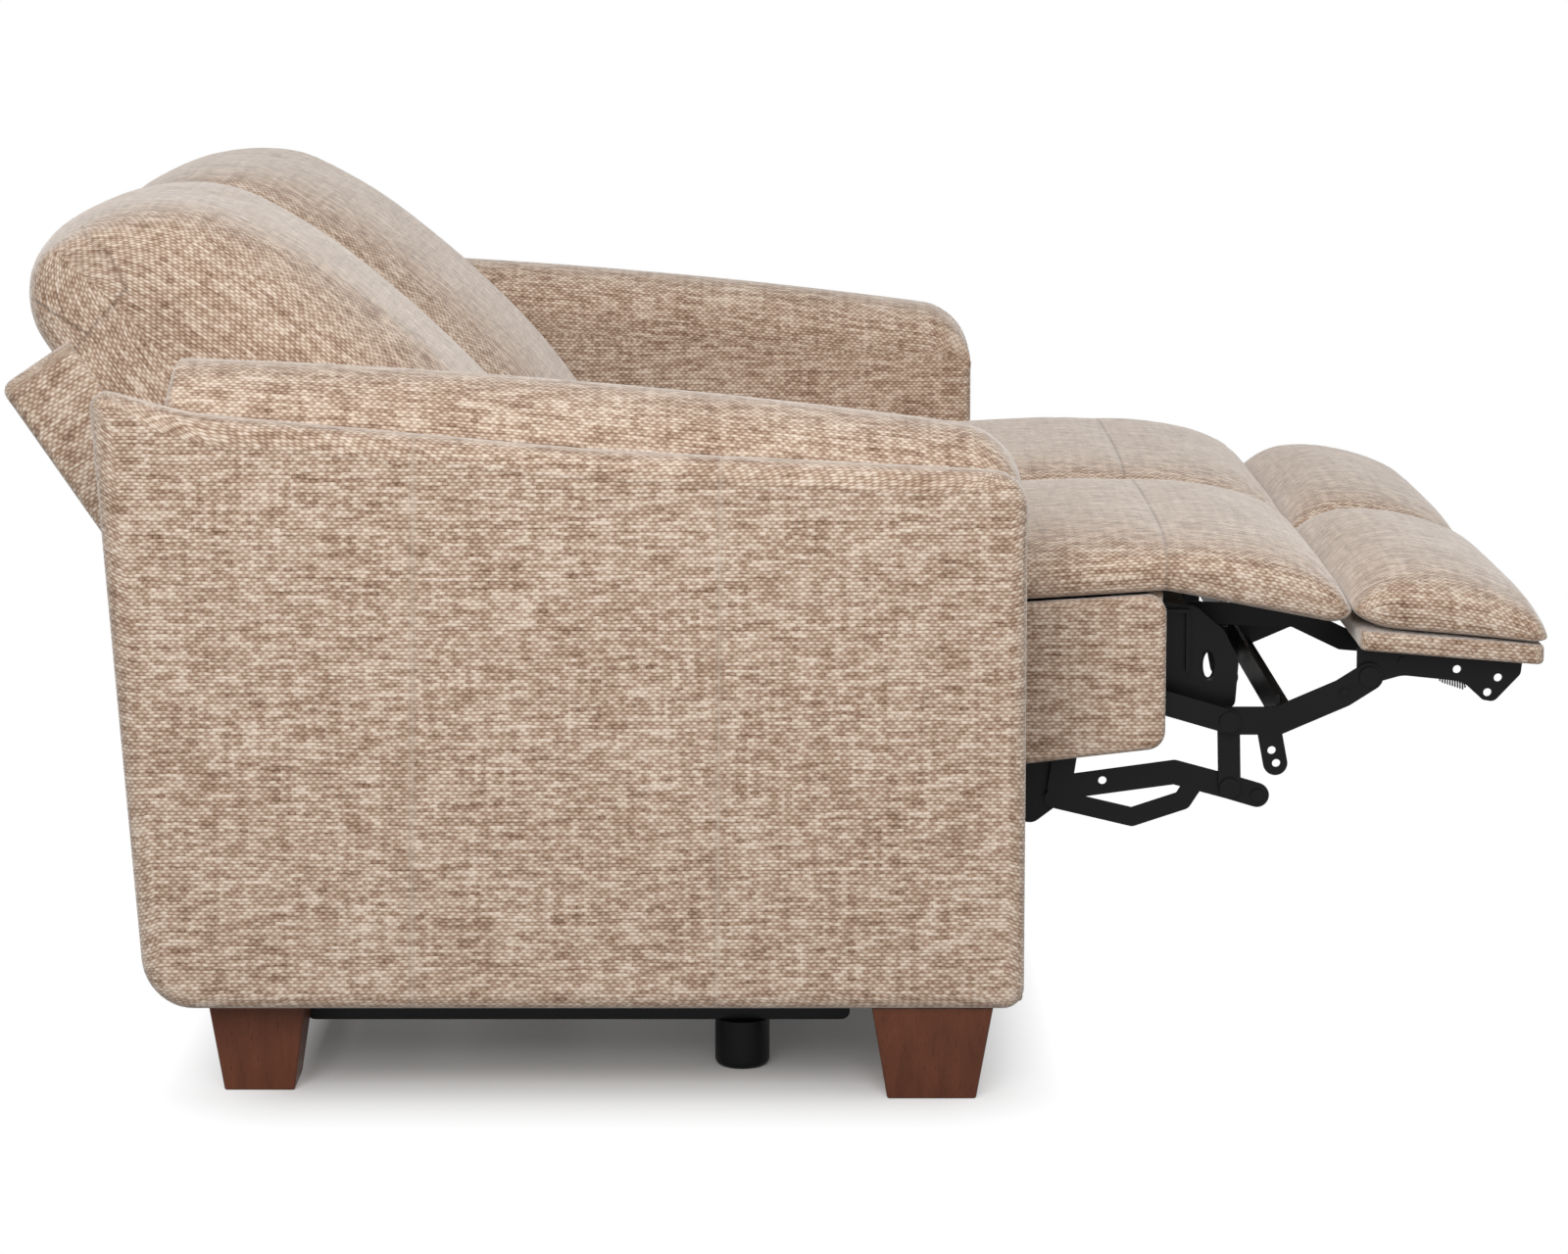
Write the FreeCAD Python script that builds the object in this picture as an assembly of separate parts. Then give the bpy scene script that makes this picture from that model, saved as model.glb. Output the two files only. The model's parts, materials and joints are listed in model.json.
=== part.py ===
"""Two-seat power reclining sofa, drawn fully reclined with both leg rests out.

Frame: X forward (the way a sitter faces), Y to the sitter's left, Z up, floor at Z = 0.
Each seat slides forward on inclined rails while its back leans, and its leg rest swings
about a front hinge that a pair of parallel cranks drives through an ottoman link.
All sizes are in millimetres.
"""

import FreeCAD
import Part
import json
import math
import os

# Overall layout
SEAT_PITCH = 580.0
ARM_WIDTH = 190.0
FOOT_HEIGHT = 100.0
SEAT_GAP = 8.0
CUSHION_GAP = 4.0
REST_GAP = 0.5

# Arm side panel outline, heights above the arm's underside
ARM_FRONT_X = 246.0
ARM_REAR_FOOT_X = -658.0
ARM_REAR_LEAN = 46.0
ARM_FRONT_RISE = 555.0
ARM_MID_RISE = 577.0
ARM_SWEEP_RISE = 614.0
ARM_PEAK_RISE = 642.0
ARM_SWEEP_RUN = 103.0
ARM_MID_BACK = 440.0
ARM_OUTER_WALL = 40.0
ARM_INNER_WALL = 25.0
ARM_END_WALL = 26.0
ARM_EDGE_ROUND = 13.0

# Arm pad
PAD_REAR_SET = 68.0
PAD_REAR_CROWN = 661.0
PAD_FRONT_CROWN = 585.0
PAD_BOW = 11.0
PAD_SEAT_DEPTH = 30.0
PAD_SIDE_DROP = 26.0
PAD_OUTER_DROP = 42.0
PAD_NOSE = 48.0

# Arm inner frame
FRAME_BAR = 45.0

# Wooden feet: outer-face inset, top and bottom widths along X and Y
FRONT_FOOT_X = 152.0
FRONT_FOOT_TOP = 125.0
FRONT_FOOT_BOTTOM = 92.0
FRONT_FOOT_INSET = 12.0
REAR_FOOT_X = -547.0
REAR_FOOT_TOP = 102.0
REAR_FOOT_BOTTOM = 73.0
REAR_FOOT_INSET = 46.0
FOOT_BOLT_R = 4.0
FOOT_BOLT_INTO_FOOT = 55.0
BOLT_CLEARANCE = 0.2

# Base rails under and between the arms
BASE_RAIL_HEIGHT = 48.0
BASE_RAIL_WIDTH = 28.0
BASE_RAIL_INSET = 150.0
BASE_RAIL_REAR_X = -507.0
BASE_RAIL_FRONT_X = 69.0
BASE_RAIL_CORNER = 9.0
CROSS_RAIL_WIDTH = 44.0
CROSS_RAIL_WALL = 3.0
FRONT_CROSS_X = -45.0
REAR_CROSS_X = -470.0
SUPPORT_FOOT_R = 29.0
SUPPORT_FOOT_ROUND = 8.0

# Fixed lower back panel and its power inlet
LOWER_BACK_WALL = 18.0
LOWER_BACK_RISE = 228.0
INLET_R = 4.0
INLET_BODY = 26.0
INLET_DEPTH = 16.0
INLET_RISE = 90.0
INLET_Y = 180.0

# Seat box: upper front edge of the box is the seat's reference point
BOX_FRONT_X = 405.0
BOX_TOP_RISE = 400.0
BOX_REAR_X = -150.0
BOX_FRONT_HEIGHT = 166.0
BOX_TOP_SLOPE = 0.0635
BOX_BOTTOM_SLOPE = 0.116
BOARD = 18.0
BOX_CORNER = 20.0
FRONT_BOARD_SET = 2.0
REAR_BOARD_BACK = 22.0
STRAP_COUNT = 5
STRAP_WIDTH = 52.0
STRAP_THICK = 4.0

# Seat cushion, bolster and leg-rest pad
CUSHION_REAR_X = -108.0
CUSHION_THICK = 62.0
CUSHION_REAR_THICK = 54.0
BOLSTER_GAP = 0.6
BOLSTER_LENGTH = 196.0
BOLSTER_DROP = 38.0
BOLSTER_NOSE = 52.0
PAD_BOARD_THICK = 21.0
PAD_BOARD_LENGTH = 196.0
PAD_BOARD_SET = 8.0
PAD_BOARD_SLOPE = 0.081
LEG_PAD_LENGTH = 212.0
LEG_PAD_THICK = 65.0
CROWN_EDGE = 0.62
CROWN_POWER = 2.5
EDGE_DRAW = 5.0

# Linkage plates
PLATE = 4.0
LAYER_GAP = 1.0
CRANK_LAYER = 1
OTTOMAN_LAYER = 2
DROP_LAYER = 3
BRACKET_LAYER = 3
LOWER_LAYER = 4
HANGER_LAYER = 5
BACK_ARM_LAYER = 2
PIN_R = 6.0
PIVOT_R = 8.0
RUNNING = 0.05
PIN_HEAD_R = 11.0
PIN_HEAD = 3.0
LINK_HALF = 13.0
HINGE_AHEAD = 45.0
HINGE_BELOW = 42.0
CRANK_RUN = 174.0
CRANK_FALL = 51.0
OTTOMAN_RUN = 149.0
OTTOMAN_RISE = 48.0
DROP_RUN = 2.0
DROP_LENGTH = 74.0
STRETCHER_AHEAD = 50.0
STRETCHER_BELOW = 6.0
STRETCHER_HEIGHT = 34.0
STRETCHER_DEPTH = 28.0
LOWER_TIP_RUN = 30.0
LOWER_TIP_FALL = 9.0
TOE_HOLES = ((18.0, 22.0), (29.0, 38.0), (62.0, 13.0))
TOE_HOLE_R = 4.5
FOOTREST_SWING = 90.0
TUBE_R = 12.5
TORQUE_TUBE_R = 14.0

# Leg-rest hinge arms
HINGE_ARM_Y = 140.0
HINGE_ARM_HALF = 12.0
HINGE_ARM_DROP = 12.1
HINGE_SPREADER_DEPTH = 31.0
HINGE_SPREADER_HALF = 232.0
HINGE_SPREADER_BELOW = 50.0
HINGE_SPREADER_ABOVE = 18.0
HINGE_LUG_ROOT = (2.0, 6.0)
HINGE_ARM_REACH = 60.0
HINGE_KNEE = (46.0, 4.0)
HINGE_TURN_AHEAD = 6.0
HINGE_TAB_START = 24.0
HINGE_TAB_PAST = 20.0
HINGE_TAB_WIDTH = 22.0

# Leg-rest side brackets: toe corners as (ahead, below, round) from the toe
BRACKET_REAR_SET = 9.0
BRACKET_REAR_ROUND = 10.0
BRACKET_BELLY = (36.0, 32.0)
BRACKET_BELLY_ROUND = 30.0
BRACKET_TOE_SET = 26.0
TOE_CORNERS = ((-56.0, 26.0, 12.0), (-34.0, 46.0, 6.0), (-22.0, 48.0, 9.0), (6.0, 18.0, 8.0))
TOE_NOSE = 8.0
BRACKET_FLANGE_START = 14.0
BRACKET_FLANGE_WIDTH = 18.0
RIVET_R = 5.0
RIVET_HEAD = 2.0
BRACKET_RIVET_BELOW = 14.0

# Lower and ottoman links: points as steps from the pivot or heel they start at
LOWER_HEEL = (-8.0, -52.0)
LOWER_CREST = (28.0, 16.0)
LOWER_HOLE = (46.0, 8.0)
GUARD_LINE = ((-6.0, -12.0), (78.0, -32.0), (132.0, -14.0), (146.0, 8.0))
GUARD_NARROWER = 3.0
TIP_RIVET_R = 7.0
OTTOMAN_FOOT = (50.0, -46.0)
OTTOMAN_SHOULDER = (52.0, 0.0)
OTTOMAN_ELBOW = (-28.0, -18.0)
OTTOMAN_LEG_ROOT = (42.0, -4.0)
OTTOMAN_FOOT_HOLES = ((-4.0, 14.0), (1.0, 0.0))
OTTOMAN_RIVET = (2.0, 1.0)
OTTOMAN_WIDER = 2.0
DROP_NARROWER = 1.0

# Leg-rest drive
DRIVE_RADIUS = 64.0
DRIVE_PIN_R = 5.0
DRIVE_SLOT_SIDE = 4.5
DRIVE_ARM_HALF = 17.0
DRIVE_ARM_Y = 24.0
TRACK_WIDTH = 34.0
TRACK_HEIGHT = 14.0
NUT_LENGTH = 40.0
NUT_HEIGHT = 24.0
MOTOR_LENGTH = 84.0
MOTOR_WIDTH = 70.0
MOTOR_HEIGHT = 62.0

# Seat slide
SLIDE_TRAVEL = 190.0
SLIDE_ANGLE = 17.0
SLIDE_RAIL_Y = 190.0
SLIDE_RAIL_WIDTH = 20.0
SLIDE_RAIL_HEIGHT = 36.0
SLIDE_RAIL_SPARE = 30.0
GLIDE_LENGTH = 50.0
GLIDE_WALL = 9.0
GLIDE_CLEARANCE = 0.3
FRONT_TUBE_X = 20.0
REAR_TUBE_X = -230.0
RECLINE_TRACK_Y = 70.0
RECLINE_TRACK_DROP = 34.0

# Back: top rear corner of the outer back panel, and its lean at full recline
BACK_TOP_X = -827.0
BACK_TOP_RISE = 620.0
BACK_LEAN = 34.0
BACK_SWING = 32.0
BACK_PANEL_THICK = 45.0
BACK_PANEL_LENGTH = 545.0
BACK_FRAME_DEPTH = 40.0
BACK_FRAME_POST = 44.0
BACK_FRAME_OVERHANG = 35.0
BACK_PIVOT_X = -175.0
BACK_PIVOT_RISE = 295.0
BACK_SIDE_GAP = 7.0
BACK_CUSHION_LENGTH = 545.0
BACK_CUSHION_DEPTH = 322.0
BACK_ROLL_RISE = 105.0
BACK_ROLL_DEPTH = 165.0
BACK_FOOT_SET = 24.0
BACK_FOOT_ROUND = 55.0
BACK_LUMBAR_RISE = 125.0
BACK_LUMBAR_ROUND = 300.0
BACK_MID_SET = 16.0
BACK_MID_RISE = 262.0
BACK_UPPER_SET = 66.0
BACK_UPPER_RISE = 455.0
BACK_FACE_ROUND = 900.0
BACK_SHOULDER_SET = 128.0
BACK_SHOULDER_RISE = 36.0
BACK_SHOULDER_ROUND = 220.0
BACK_ROLL_ROUND = 70.0
BACK_ROLL_SET = 20.0
BACK_ROLL_FALL = 6.0
BACK_ROLL_REAR = ((38.0, BACK_ROLL_RISE, 52.0), (0.0, 46.0, 30.0), (0.0, -14.0, 5.0))
BACK_ROLL_TUCK = 20.0
BACK_HEEL_ROUND = 12.0
BACK_EDGE_DRAW = 0.055

# Controls on the inner arm faces
CONTROL_X = -100.0
CONTROL_RISE = 445.0
CONTROL_LENGTH = 92.0
CONTROL_HEIGHT = 44.0
CONTROL_LIP = 4.0
CONTROL_PROUD = 2.0
BUTTON_R = 10.0
BUTTON_SPACING = 40.0
BUTTON_TRAVEL = 2.0
BUTTON_CLEARANCE = 0.4
BUTTON_PROUD = 1.5
BUTTON_LENGTH = 9.0

# Derived levels and places
HALF_WIDTH = SEAT_PITCH + ARM_WIDTH
SEAT_HALF = SEAT_PITCH / 2
ARM_BOTTOM = FOOT_HEIGHT
ARM_PEAK_X = ARM_REAR_FOOT_X - ARM_REAR_LEAN
PAD_REAR_X = ARM_PEAK_X + PAD_REAR_SET
BASE_TOP = ARM_BOTTOM
BASE_LOW = BASE_TOP - BASE_RAIL_HEIGHT
BOX_TOP = ARM_BOTTOM + BOX_TOP_RISE
BOX_OUTER = SEAT_HALF - SEAT_GAP
BOX_INNER = BOX_OUTER - BOARD
HINGE = (BOX_FRONT_X + HINGE_AHEAD, BOX_TOP - HINGE_BELOW)
BRACKET_PIVOT = (HINGE[0] + CRANK_RUN, HINGE[1] - CRANK_FALL)
OTTOMAN_PIVOT = (BRACKET_PIVOT[0] - OTTOMAN_RUN, BRACKET_PIVOT[1] - OTTOMAN_RISE)
CRANK_PIVOT = (OTTOMAN_PIVOT[0] - CRANK_RUN, OTTOMAN_PIVOT[1] + CRANK_FALL)
LOWER_PIVOT = (CRANK_PIVOT[0] + DROP_RUN, CRANK_PIVOT[1] - DROP_LENGTH)
DROP_PIVOT = (OTTOMAN_PIVOT[0] + DROP_RUN, OTTOMAN_PIVOT[1] - DROP_LENGTH)
LOWER_TIP = (DROP_PIVOT[0] + LOWER_TIP_RUN, DROP_PIVOT[1] - LOWER_TIP_FALL)
DRIVE_REACH = DRIVE_RADIUS * math.sin(math.radians(FOOTREST_SWING / 2))
DRIVE_LINE_Z = CRANK_PIVOT[1] - DRIVE_RADIUS * math.cos(math.radians(FOOTREST_SWING / 2))
SLIDE_RAD = math.radians(SLIDE_ANGLE)
SLIDE_DIR = (math.cos(SLIDE_RAD), math.sin(SLIDE_RAD))
SLIDE_UP = (-math.sin(SLIDE_RAD), math.cos(SLIDE_RAD))
FRONT_TUBE = (FRONT_TUBE_X, DRIVE_LINE_Z - NUT_HEIGHT / 2 - TRACK_HEIGHT - TUBE_R)
REAR_TUBE = (REAR_TUBE_X, FRONT_TUBE[1] + (REAR_TUBE_X - FRONT_TUBE_X) * math.tan(SLIDE_RAD))
BACK_RAD = math.radians(BACK_LEAN)
BACK_TOP = (BACK_TOP_X, ARM_BOTTOM + BACK_TOP_RISE)
BACK_PIVOT = (BACK_PIVOT_X, ARM_BOTTOM + BACK_PIVOT_RISE)
BACK_HALF = SEAT_HALF - BACK_SIDE_GAP
SEAT_CENTRES = {"right": -SEAT_HALF, "left": SEAT_HALF}
ARM_SIDES = {"right": -1, "left": 1}


def vec(x, y, z):
    return FreeCAD.Vector(x, y, z)


# Plane outlines and plates


def rounded_wire(corners, place):
    """Closed wire through (u, w, radius) corners: straight runs joined by tangent arcs.

    A radius is limited so that two neighbouring arcs never meet on a run.
    """
    count = len(corners)
    runs = []
    for i, (u, w, radius) in enumerate(corners):
        before, after = corners[i - 1], corners[(i + 1) % count]
        to_before = (before[0] - u, before[1] - w)
        to_after = (after[0] - u, after[1] - w)
        len_before, len_after = math.hypot(*to_before), math.hypot(*to_after)
        unit_b = (to_before[0] / len_before, to_before[1] / len_before)
        unit_a = (to_after[0] / len_after, to_after[1] / len_after)
        dot = max(-1.0, min(1.0, unit_b[0] * unit_a[0] + unit_b[1] * unit_a[1]))
        half = math.acos(dot) / 2
        reach = min(radius / math.tan(half), 0.48 * len_before, 0.48 * len_after)
        fitted = reach * math.tan(half)
        start = (u + unit_b[0] * reach, w + unit_b[1] * reach)
        end = (u + unit_a[0] * reach, w + unit_a[1] * reach)
        bisector = (unit_b[0] + unit_a[0], unit_b[1] + unit_a[1])
        size = math.hypot(*bisector)
        depth = fitted / math.sin(half) - fitted
        middle = (u + bisector[0] / size * depth, w + bisector[1] / size * depth)
        runs.append((start, middle, end))
    edges = []
    for i, (start, middle, end) in enumerate(runs):
        edges.append(Part.Arc(place(*start), place(*middle), place(*end)).toShape())
        following = runs[(i + 1) % count][0]
        edges.append(Part.LineSegment(place(*end), place(*following)).toShape())
    return Part.Wire(edges)


def at_y(y):
    return lambda x, z: vec(x, y, z)


def on_back(y):
    """Back coordinates: b forward from the back panel's rear face, up along the panel from its top edge."""
    sine, cosine = math.sin(BACK_RAD), math.cos(BACK_RAD)
    return lambda b, up: vec(BACK_TOP[0] + b * cosine - up * sine, y, BACK_TOP[1] + b * sine + up * cosine)


def plate(corners, y0, y1, place=at_y):
    """Flat plate of a rounded outline between two Y planes."""
    low, high = min(y0, y1), max(y0, y1)
    return Part.Face(rounded_wire(corners, place(low))).extrude(vec(0, high - low, 0))


def rod(centre, radius, y0, y1):
    low, high = min(y0, y1), max(y0, y1)
    return Part.makeCylinder(radius, high - low, vec(centre[0], low, centre[1]), vec(0, 1, 0))


def box(x0, x1, y0, y1, z0, z1):
    low = vec(min(x0, x1), min(y0, y1), min(z0, z1))
    return Part.makeBox(abs(x1 - x0), abs(y1 - y0), abs(z1 - z0), low)


def fused(shapes):
    whole = shapes[0].fuse(shapes[1:]) if len(shapes) > 1 else shapes[0]
    return whole.removeSplitter()


def pierced(shape, centres, radius):
    """The shape with round holes of one radius right through it along Y."""
    bounds = shape.BoundBox
    for centre in centres:
        shape = shape.cut(rod(centre, radius, bounds.YMin - 1, bounds.YMax + 1))
    return shape


def strap(points, half, y0, y1):
    """Pressed-steel link: a flat bar of even width along the points, round at each."""
    pieces = [rod(p, half, y0, y1) for p in points]
    for (x0, z0), (x1, z1) in zip(points, points[1:]):
        length = math.hypot(x1 - x0, z1 - z0)
        side = (-(z1 - z0) / length * half, (x1 - x0) / length * half)
        corners = [
            (x0 + side[0], z0 + side[1]),
            (x1 + side[0], z1 + side[1]),
            (x1 - side[0], z1 - side[1]),
            (x0 - side[0], z0 - side[1]),
        ]
        low, high = min(y0, y1), max(y0, y1)
        wire = Part.makePolygon([vec(x, low, z) for x, z in corners + corners[:1]])
        pieces.append(Part.Face(wire).extrude(vec(0, high - low, 0)))
    return fused(pieces)


def layer(index, side):
    """Y span, in seat coordinates, of linkage layer 0 (outermost) to 5 on one side of a seat."""
    outer = BOX_INNER - index * (PLATE + LAYER_GAP)
    return side * outer, side * (outer - PLATE)


def crowned(sections):
    """Soft form lofted through closed wires of matching edges."""
    return Part.makeLoft(sections, True, False)


def crown_stations():
    """Stations across a soft form, -1 to 1, with how far its crown has fallen at each."""
    return [(t, abs(t) ** CROWN_POWER) for t in (-1, -0.9, -0.7, -0.4, 0, 0.4, 0.7, 0.9, 1)]


def edges_at_y(solid, y):
    return [e for e in solid.Edges if abs(e.BoundBox.YMin - y) < 1e-3 and abs(e.BoundBox.YMax - y) < 1e-3]


def offset(point, dx, dz):
    return point[0] + dx, point[1] + dz


# Arms


def arm_y(side, depth):
    """Y of a plane that lies depth inside an arm's outer face."""
    return side * (HALF_WIDTH - depth)


def arm_outline():
    top_line = ARM_BOTTOM
    return [
        (ARM_REAR_FOOT_X, top_line, 55),
        (ARM_FRONT_X, top_line, 22),
        (ARM_FRONT_X, top_line + ARM_FRONT_RISE, 38),
        (ARM_FRONT_X - ARM_MID_BACK, top_line + ARM_MID_RISE, 2000),
        (ARM_PEAK_X + ARM_SWEEP_RUN, top_line + ARM_SWEEP_RISE, 260),
        (ARM_PEAK_X, top_line + ARM_PEAK_RISE, 16),
    ]


def panel_top(x):
    """Height of the side panel's top edge ahead of its rear sweep."""
    x_mid = ARM_FRONT_X - ARM_MID_BACK
    x_sweep = ARM_PEAK_X + ARM_SWEEP_RUN
    if x > x_mid:
        share = (x - x_mid) / (ARM_FRONT_X - x_mid)
        return ARM_BOTTOM + ARM_MID_RISE + share * (ARM_FRONT_RISE - ARM_MID_RISE)
    share = (x - x_sweep) / (x_mid - x_sweep)
    return ARM_BOTTOM + ARM_SWEEP_RISE + share * (ARM_MID_RISE - ARM_SWEEP_RISE)


def pad_base(x):
    return panel_top(x) - PAD_SEAT_DEPTH


def rear_edge(z):
    """X of the arm's leaning rear edge at a height."""
    return ARM_REAR_FOOT_X - ARM_REAR_LEAN * (z - ARM_BOTTOM) / ARM_PEAK_RISE


def arm_outer_panel(side):
    solid = plate(arm_outline(), arm_y(side, 0), arm_y(side, ARM_OUTER_WALL))
    return solid.makeFillet(ARM_EDGE_ROUND, edges_at_y(solid, arm_y(side, 0)))


def arm_inner_panel(side):
    rear_low = rear_edge(ARM_BOTTOM)
    top_rear = pad_base(PAD_REAR_X)
    corners = [
        (rear_low, ARM_BOTTOM, 12),
        (ARM_FRONT_X, ARM_BOTTOM, 12),
        (ARM_FRONT_X, pad_base(ARM_FRONT_X), 4),
        (ARM_FRONT_X - ARM_MID_BACK, pad_base(ARM_FRONT_X - ARM_MID_BACK), 4),
        (PAD_REAR_X, top_rear, 4),
        (rear_edge(top_rear), top_rear, 12),
    ]
    solid = plate(corners, arm_y(side, ARM_WIDTH - ARM_INNER_WALL), arm_y(side, ARM_WIDTH))
    return solid.cut(control_body(side, BUTTON_CLEARANCE))


def arm_end_panels(side):
    """Front and rear panels that close an arm between its two side panels."""
    y0, y1 = arm_y(side, ARM_OUTER_WALL), arm_y(side, ARM_WIDTH - ARM_INNER_WALL)
    front_x = ARM_FRONT_X - ARM_END_WALL
    front = [
        (front_x, ARM_BOTTOM, 3),
        (ARM_FRONT_X, ARM_BOTTOM, 12),
        (ARM_FRONT_X, pad_base(ARM_FRONT_X), 3),
        (front_x, pad_base(front_x), 3),
    ]
    top = pad_base(PAD_REAR_X)
    low = ARM_BOTTOM + FRAME_BAR
    rear = [
        (rear_edge(low), low, 3),
        (rear_edge(low) + ARM_END_WALL, low, 3),
        (rear_edge(top) + ARM_END_WALL, top, 3),
        (rear_edge(top), top, 3),
    ]
    return [plate(front, y0, y1), plate(rear, y0, y1)]


def arm_frame(side):
    """Hardwood rails and posts inside an arm, between its four panels."""
    y0, y1 = arm_y(side, ARM_OUTER_WALL), arm_y(side, ARM_WIDTH - ARM_INNER_WALL)
    front = ARM_FRONT_X - ARM_END_WALL
    low_top = ARM_BOTTOM + FRAME_BAR
    rear_low = rear_edge(low_top) + ARM_END_WALL
    rail = [
        (rear_edge(ARM_BOTTOM) + FRAME_BAR, ARM_BOTTOM, 1),
        (front, ARM_BOTTOM, 1),
        (front, low_top, 1),
        (rear_low, low_top, 1),
    ]
    mid = ARM_FRONT_X - ARM_MID_BACK
    rear = rear_edge(pad_base(PAD_REAR_X) - FRAME_BAR) + ARM_END_WALL
    top = [
        (front, pad_base(front) - FRAME_BAR, 1),
        (front, pad_base(front), 1),
        (mid, pad_base(mid), 1),
        (rear, pad_base(rear), 1),
        (rear, pad_base(rear) - FRAME_BAR, 1),
        (mid, pad_base(mid) - FRAME_BAR, 1),
    ]
    posts = []
    for x in (front - FRAME_BAR, rear_low):
        post = [
            (x, low_top, 1),
            (x + FRAME_BAR, low_top, 1),
            (x + FRAME_BAR, pad_base(x + FRAME_BAR) - FRAME_BAR, 1),
            (x, pad_base(x) - FRAME_BAR, 1),
        ]
        posts.append(plate(post, y0, y1))
    bolted = plate(rail, y0, y1)
    for bolt in foot_bolt_centres(side):
        bolted = bolted.cut(foot_bolt(bolt, FOOT_BOLT_R + BOLT_CLEARANCE, FRAME_BAR))
    return [bolted, plate(top, y0, y1), *posts]


def arm_pad(side):
    """Crowned arm-top pad: lofted through cross-sections with a bowed crown and a falling nose."""
    nose = PAD_NOSE
    front = ARM_FRONT_X - 2
    length = front - nose - PAD_REAR_X
    stations = [
        (PAD_REAR_X, 12),
        (PAD_REAR_X + 0.015 * length, 5),
        (PAD_REAR_X + 0.05 * length, 1),
        (PAD_REAR_X + 0.14 * length, 0),
        (PAD_REAR_X + 0.35 * length, 0),
        (PAD_REAR_X + 0.65 * length, 0),
        (PAD_REAR_X + 0.88 * length, 0),
        (front - nose, 0.02 * nose),
        (front - 0.5 * nose, 0.12 * nose),
        (front - 0.16 * nose, 0.38 * nose),
        (front, 0.7 * nose),
    ]
    y_out, y_in = arm_y(side, ARM_OUTER_WALL + REST_GAP), arm_y(side, ARM_WIDTH)
    sections = []
    for x, fall in stations:
        share = (x - PAD_REAR_X) / (front - PAD_REAR_X)
        line = PAD_REAR_CROWN + share * (PAD_FRONT_CROWN - PAD_REAR_CROWN)
        crown = ARM_BOTTOM + line + 4 * PAD_BOW * share * (1 - share) - fall
        low = pad_base(x) + REST_GAP
        keep = max(0.35, 1 - fall / (1.3 * nose))
        inner, outer = crown - PAD_SIDE_DROP * keep, crown - PAD_OUTER_DROP * keep
        points = [vec(x, y_out, low), vec(x, y_in, low), vec(x, y_in, inner), vec(x, y_out, outer)]
        top = Part.Arc(points[2], vec(x, (y_out + y_in) / 2, crown), points[3]).toShape()
        lines = [Part.LineSegment(points[a], points[b]).toShape() for a, b in ((0, 1), (1, 2), (3, 0))]
        sections.append(Part.Wire([lines[0], lines[1], top, lines[2]]))
    return crowned(sections)


# Feet and base rails


def tapered_foot(x, top, bottom, outer_y, side):
    """Four-sided wooden foot: a straight taper between two squares."""

    def square(size, z):
        inset = (top - size) / 2
        y0 = outer_y - side * inset
        y1 = y0 - side * size
        corners = [(x - size / 2, y0), (x + size / 2, y0), (x + size / 2, y1), (x - size / 2, y1)]
        return Part.makePolygon([vec(a, b, z) for a, b in corners + corners[:1]])

    return Part.makeLoft([square(bottom, 0), square(top, FOOT_HEIGHT)], True, True)


def feet_places(side):
    """(x, top width, bottom width, Y of the outer face) of an arm's front and rear foot."""
    return [
        (FRONT_FOOT_X, FRONT_FOOT_TOP, FRONT_FOOT_BOTTOM, arm_y(side, FRONT_FOOT_INSET)),
        (REAR_FOOT_X, REAR_FOOT_TOP, REAR_FOOT_BOTTOM, arm_y(side, REAR_FOOT_INSET)),
    ]


def foot_bolt_centres(side):
    return [(x, outer - side * top / 2) for x, top, _, outer in feet_places(side)]


def foot_bolt(centre, radius, rise):
    low = FOOT_HEIGHT - FOOT_BOLT_INTO_FOOT
    return Part.makeCylinder(radius, FOOT_BOLT_INTO_FOOT + rise, vec(centre[0], centre[1], low))


def feet(index):
    solids = []
    for side in ARM_SIDES.values():
        x, top, bottom, outer = feet_places(side)[index]
        foot = tapered_foot(x, top, bottom, outer, side)
        hole = foot_bolt((x, outer - side * top / 2), FOOT_BOLT_R + BOLT_CLEARANCE, 1)
        solids.append(foot.cut(hole))
    return solids


def foot_bolts():
    return [
        foot_bolt(centre, FOOT_BOLT_R, FRAME_BAR)
        for side in ARM_SIDES.values()
        for centre in foot_bolt_centres(side)
    ]


def base_side_rail(side):
    corners = [
        (BASE_RAIL_REAR_X, BASE_LOW, BASE_RAIL_CORNER),
        (BASE_RAIL_FRONT_X, BASE_LOW, BASE_RAIL_CORNER),
        (BASE_RAIL_FRONT_X, BASE_TOP, 2),
        (BASE_RAIL_REAR_X, BASE_TOP, 2),
    ]
    return plate(corners, arm_y(side, BASE_RAIL_INSET), arm_y(side, BASE_RAIL_INSET + BASE_RAIL_WIDTH))


def cross_rail(x):
    half = HALF_WIDTH - BASE_RAIL_INSET - BASE_RAIL_WIDTH
    wide, wall = CROSS_RAIL_WIDTH / 2, CROSS_RAIL_WALL
    outer = box(x - wide, x + wide, -half, half, BASE_LOW, BASE_TOP)
    hollow = box(x - wide + wall, x + wide - wall, -half - 1, half + 1, BASE_LOW + wall, BASE_TOP - wall)
    return outer.cut(hollow)


def support_feet():
    under_rail = HALF_WIDTH - BASE_RAIL_INSET - BASE_RAIL_WIDTH / 2
    centres = [(FRONT_CROSS_X, y) for y in (-under_rail, 0, under_rail)] + [(REAR_CROSS_X, 0)]
    solids = []
    for x, y in centres:
        foot = Part.makeCylinder(SUPPORT_FOOT_R, BASE_LOW, vec(x, y, 0))
        rim = [e for e in foot.Edges if e.BoundBox.ZMax < 1e-6]
        solids.append(foot.makeFillet(SUPPORT_FOOT_ROUND, rim))
    return solids


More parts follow.
